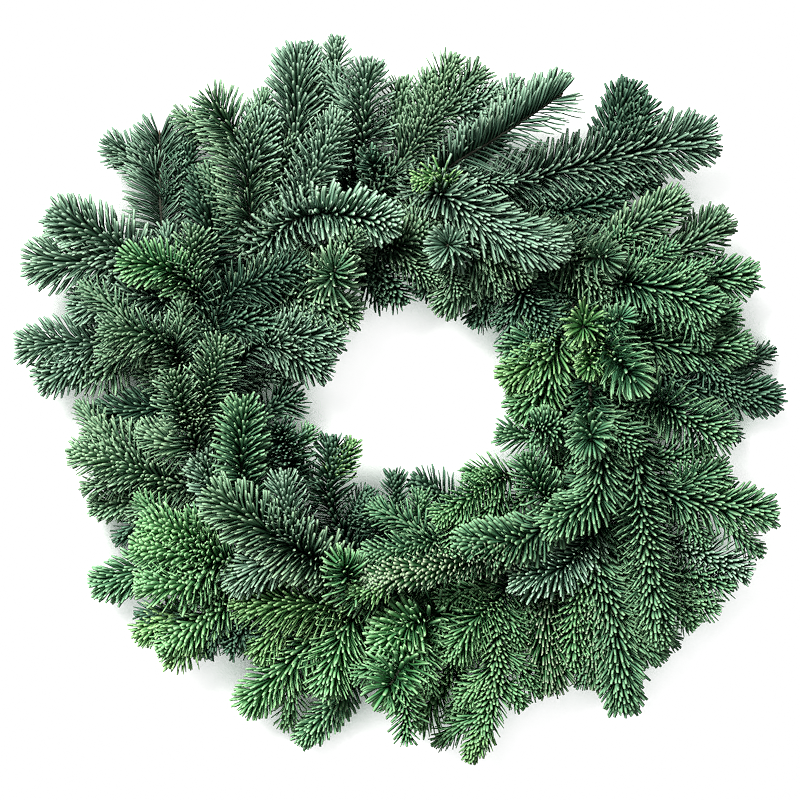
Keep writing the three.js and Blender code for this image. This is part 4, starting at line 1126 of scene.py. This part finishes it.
def grow_spray(number, bunch, place, look, bare, leafy, shoots):
    """Grows one spray and gives its counts of needles and faces."""
    rng = np.random.default_rng([SEED, number])
    skin = Skin()
    stem = lay_stem(bunch, place, bare, leafy)
    first = CUT_END + CLAMP_LENGTH / 2 + CLEAR_OF_CLAMP
    full = full_from(stem, bare) - NEEDLES_BEFORE
    grow_bark(skin, stem, rng, STEM_RADII, (0.0, first + THINNER_WITHIN, stem.length))
    grow_cut_end(skin, stem, CUT_RADIUS)
    needles = grow_shoot(skin, stem, rng, look, full)
    if full > first:
        needles += grow_needles(skin, stem, rng, look, first, full, SPARSE, SPARSE_SHADE, FEWER_RINGS_AT)
    if (bunch, place) in PRUNED:
        stub = Twig(PRUNED[bunch, place])
        grow_bark(skin, stub, rng, STUB_RADII)
        grow_cut_end(skin, stub, STUB_CUT_RADIUS)
    for shoot_look, (fork, *rest) in shoots:
        shoot = Twig([stem.nearest(fork), *rest])
        grow_bark(skin, shoot, rng, SHOOT_RADII)
        needles += grow_shoot(skin, shoot, rng, shoot_look, FORK_TO_NEEDLES)
    tint = look.split()[0]
    if place in ("under", "inner", "outer"):
        others = np.vstack(LEAFY[:number] + LEAFY[number + 1:])
        # Side twigs under a spray take the deep green, a darker copy that paints their shade.
        side_look = ("deep" if place == "under" else tint) + " brush short"
        for side_twig in lay_side_twigs(stem, rng, first + THINNER_WITHIN, others):
            grow_bark(skin, side_twig, rng, SIDE_RADII)
            part = SIDE_FORK_TO_NEEDLES, side_twig.length - SIDE_TIP_TO_NEEDLES, SIDE_DENSITY
            needles += grow_needles(skin, side_twig, rng, side_look, *part, SIDE_SHADE, FEWER_RINGS_AT)
    name = f"bunch_{bunch:02d}_{place}"
    spray = skin.make(name + "_fir")
    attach(spray, "root")
    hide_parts(name + "_spray")
    return needles, len(spray.data.polygons)


grown = [grow_spray(number, *row) for number, row in enumerate(SPRAYS)]
print("needles:", sum(needles for needles, _ in grown))
print("faces:", sum(faces for _, faces in grown), "most on a spray:", max(faces for _, faces in grown))

# %% [markdown]
# ## The clamped ring
#
# Hardly any of it shows once the bunches are on, but it carries them all. The wire is one closed tube. Each
# clamp is a steel strip with a rounded bend at each corner and both ends pressed down over the stems, and a
# bead of weld on each side holds it to the wire. An extruded curve could make a strip as well, but the
# rings that make a twig do it with a flat section.

# %% The strip of a clamp
CLAMP_METAL = 1.6
CLAMP_FLOOR = 4.6  # height of the strip's upper side where it crosses the wire
CLAMP_GAP = 1.4  # half the gap between its two ends
BEND_RADIUS = 2.2
BEND_POINTS = 5
SOFT_EDGE = 0.35


def clamp_line(top):
    """The middle line of a clamp's strip, out from the ring's wire and up, with its corners bent round."""
    inset = CLAMP_METAL / 2
    reach = STEM_PITCH / 2 + STEM_WIDTH / 2 + GRIP + inset
    low, high = CLAMP_FLOOR - inset, top - inset
    corners = np.array([(CLAMP_GAP, high), (reach, high), (reach, low),
                        (-reach, low), (-reach, high), (-CLAMP_GAP, high)])
    line = [corners[0]]
    for before, corner, after in zip(corners, corners[1:], corners[2:]):
        towards, away = unit(before - corner), unit(after - corner)
        middle = corner + (towards + away) * BEND_RADIUS
        for angle in np.linspace(0.0, math.pi / 2, BEND_POINTS):
            line.append(middle - BEND_RADIUS * (away * math.cos(angle) + towards * math.sin(angle)))
    return np.array([*line, corners[-1]])


def strip_rings(line, half_length):
    """Rings of a flat strip with softened edges round a line in the plane of x and z."""
    forward = unit(np.gradient(line, axis=0))
    normal = np.stack([-forward[:, 1], forward[:, 0]], 1)
    near, thick = half_length - SOFT_EDGE, CLAMP_METAL / 2
    thin = thick - SOFT_EDGE
    section = [(half_length, thin), (near, thick), (-near, thick), (-half_length, thin),
               (-half_length, -thin), (-near, -thick), (near, -thick), (half_length, -thin)]
    rings = np.empty((len(line), len(section), 3))
    for i, (along, through) in enumerate(section):
        flat = line + normal * through
        rings[:, i] = np.stack([flat[:, 0], np.full(len(line), along), flat[:, 1]], 1)
    return rings


def onto_ring(points, bunch):
    """Turns points given as out, along and up at a clamp into the wreath's own."""
    outward, onward = clock_directions(bunch)
    out, along, up = (points[..., i:i + 1] for i in range(3))
    return outward * (RING_RADIUS + out) + onward * along + UP * up


print("points along a strip for stems up to 15 mm high:", len(clamp_line(15.0)))

# %% The ring
WIRE_POINTS, WIRE_SIDES = 168, 12
BEAD_POINTS = 7
BEAD_RADIUS, BEAD_HALF_LENGTH, BEAD_HEIGHT = 1.1, 2.4, 4.2
BLUNT = 1.02  # just over 1, so that a bead's ends aren't points


def wire_rings():
    """Rings of points round the closed loop of wire."""
    angle = 2 * math.pi * np.arange(WIRE_POINTS) / WIRE_POINTS
    outward = np.stack([np.cos(angle), np.sin(angle), np.zeros(WIRE_POINTS)], 1)
    forward = np.stack([-np.sin(angle), np.cos(angle), np.zeros(WIRE_POINTS)], 1)
    place = outward * RING_RADIUS + UP * WIRE / 2
    return round_rings(place, forward, outward, np.full(WIRE_POINTS, WIRE / 2), WIRE_SIDES)


def bead_rings(along):
    """A bead of weld across the wire, at one side of a clamp."""
    reach = np.linspace(-BEAD_HALF_LENGTH, BEAD_HALF_LENGTH, BEAD_POINTS)
    line = np.stack([reach, np.full(BEAD_POINTS, along), np.full(BEAD_POINTS, BEAD_HEIGHT)], 1)
    radius = BEAD_RADIUS * np.sqrt(BLUNT - (reach / BEAD_HALF_LENGTH) ** 2)
    forward, up = (np.tile(direction, (BEAD_POINTS, 1)) for direction in ((1.0, 0.0, 0.0), UP))
    return round_rings(line, forward, up, radius)


def make_ring():
    """The wire with its fourteen clamps, each as high as its own layers of stems."""
    skin = Skin()
    skin.add(wire_rings()[None], "lacquered_steel", closed=True)
    for bunch in range(1, BUNCHES + 1):
        layers = [PLACES[row[1]][1] for row in SPRAYS if row[0] == bunch]
        top = layer_height(max(layers)) + STEM_WIDTH / 2 + GRIP + CLAMP_METAL
        strip = strip_rings(clamp_line(top), CLAMP_LENGTH / 2)
        for rings in (strip, bead_rings(-CLAMP_LENGTH / 2), bead_rings(CLAMP_LENGTH / 2)):
            skin.add(onto_ring(rings, bunch)[None], "lacquered_steel")
    return skin.make("clamped_ring")


ring = make_ring()
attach(ring, "root")
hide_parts("clamp_ring")
print("ring faces:", len(ring.data.polygons))

# %% [markdown]
# ## Table, light and camera
#
# The wreath was photographed from straight above on a white surface, in a room with soft daylight from the
# upper left. The photograph is overexposed there: the open surface is pure white, with only a trace of grey
# beside the foliage, and yet it's dark green between the needles. A white board under a strong lamp can't
# do both at once. So the board gives off some light of its own that the camera alone sees, as overexposure
# does, and an Ambient Occlusion node turns that light down where the wreath hides the sky, a painted
# shadow. What is left there is dark and greenish, painted shade in the board's colour and a painted green
# glow, like light that came through foliage. One large lamp and a pale world give the rest. The camera
# stands far off with a long lens, which keeps the outline free of distortion.

# %% The white surface
BOARD_SIZE = 24.0
# painted light: how strongly the board glows for the camera, standing for overexposure
OVEREXPOSED = 0.94
SKY_REACH = 0.06  # metres round a point of the board in which the wreath can hide the sky from it
SKY_SAMPLES = 4
DARK_BELOW, WHITE_FROM = 0.37, 0.61  # shares of open sky
BOARD_TONES = (0.26, 0.26, 0.25), (0.3, 0.3, 0.29)
# Painted shade in the board's colour and painted green glow where the wreath hides the sky.
SHADE_UNDER_FOLIAGE, GLOW_UNDER_FOLIAGE = (0.012, 0.03, 0.016), (0.3, 0.75, 0.42)
WHITE = (1.0, 1.0, 1.0)


def make_board_material():
    """A white board with a painted glow for the camera, and painted shadow and shade that turn it dark and
    green under the wreath.
    """
    tree, surface, grain = start_surface("white_board", "white_board")
    roughen(tree, surface, grain["Height"], "white_board")
    sky = add_node(tree, "ShaderNodeAmbientOcclusion", {"Distance": SKY_REACH}, samples=SKY_SAMPLES)
    exposed = map_range(tree, sky.outputs["AO"], DARK_BELOW, WHITE_FROM, 0.0, OVEREXPOSED, smooth=True)
    share = math_node(tree, "DIVIDE", exposed, OVEREXPOSED)
    board_colour = mix_colours(tree, grain["Patches"], *BOARD_TONES)
    # Painted shade: the board's colour turns dark green where the wreath hides the sky.
    colour = mix_colours(tree, share, SHADE_UNDER_FOLIAGE, board_colour)
    tree.links.new(colour, surface.inputs["Base Color"])
    # Painted light: the board glows white in the open and green under the wreath, for the camera alone.
    tree.links.new(mix_colours(tree, share, GLOW_UNDER_FOLIAGE, WHITE), surface.inputs["Emission Color"])
    seen = tree.nodes.new("ShaderNodeLightPath").outputs["Is Camera Ray"]
    tree.links.new(math_node(tree, "MULTIPLY", seen, exposed), surface.inputs["Emission Strength"])


make_board_material()
bpy.ops.mesh.primitive_plane_add(size=BOARD_SIZE)
board = bpy.context.active_object
board.name = "white_board"
board.data.materials.append(bpy.data.materials["white_board"])
print("board:", BOARD_SIZE, "metres wide")

# %% Light
WINDOW_PLACE = Vector((-1.85, 2.2, 3.7))
WINDOW_SIZE = 1.7
WINDOW_POWER = 480.0
ROOM_COLOUR = (0.95, 0.98, 1.0, 1.0)
ROOM_LIGHT = 0.3

lamp = bpy.data.lights.new("window", "AREA")
lamp.shape = "SQUARE"
lamp.size = WINDOW_SIZE
lamp.energy = WINDOW_POWER
window = bpy.data.objects.new("window", lamp)
window.location = WINDOW_PLACE
window.rotation_euler = WINDOW_PLACE.to_track_quat("Z", "Y").to_euler()  # looks at the wreath's middle
bpy.context.scene.collection.objects.link(window)

world = bpy.data.worlds.new("room")
world.use_nodes = True
background = world.node_tree.nodes["Background"]
background.inputs["Color"].default_value = ROOM_COLOUR
background.inputs["Strength"].default_value = ROOM_LIGHT
bpy.context.scene.world = world
print("the window stands", round(WINDOW_PLACE.length, 1), "metres away")

# %% Camera
LENS = 144.0
SENSOR = 36.0
CAMERA_PLACE = (0.0, -0.00375, 2.45)

lens = bpy.data.cameras.new("camera")
lens.lens = LENS
lens.sensor_width = SENSOR
camera = bpy.data.objects.new("camera", lens)
camera.location = CAMERA_PLACE
bpy.context.scene.collection.objects.link(camera)
bpy.context.scene.camera = camera
bpy.context.scene.view_settings.view_transform = "Standard"
print("the picture spans", round(CAMERA_PLACE[2] * SENSOR / LENS, 3), "metres of the surface")

# %% [markdown]
# ## The photograph's hard edges
#
# The photograph was sharpened, so that each needle has a crisp dark edge. The compositor can do that to a
# render with a Filter node. It works best on display brightness, so one Gamma node goes before it and one
# after it. The Mix nodes only clamp: an overexposed surface would otherwise draw black lines round the
# foliage.

# %% The photograph's hard edges
SHARPENED = 0.2
DISPLAY_GAMMA = 2.2


def sharpen_picture():
    """A row of compositor nodes from the render to the picture."""
    scene = bpy.context.scene
    scene.use_nodes = True
    tree = scene.node_tree
    tree.nodes.clear()
    clamp = ("MixRGB", {"use_clamp": True}, {"Fac": 0.0})
    picture = tree.nodes.new("CompositorNodeRLayers").outputs["Image"]
    for kind, settings, values in (
        clamp,
        ("Gamma", {}, {"Gamma": 1.0 / DISPLAY_GAMMA}),
        ("Filter", {"filter_type": "SHARPEN_DIAMOND"}, {"Fac": SHARPENED}),
        clamp,
        ("Gamma", {}, {"Gamma": DISPLAY_GAMMA}),
    ):
        node = add_node(tree, "CompositorNode" + kind, values, **settings)
        tree.links.new(picture, next(entry for entry in node.inputs if entry.type == "RGBA"))
        picture = node.outputs[0]
    end = tree.nodes.new("CompositorNodeComposite")
    tree.links.new(picture, end.inputs["Image"])
    return len(tree.nodes)


print("compositor nodes:", sharpen_picture())
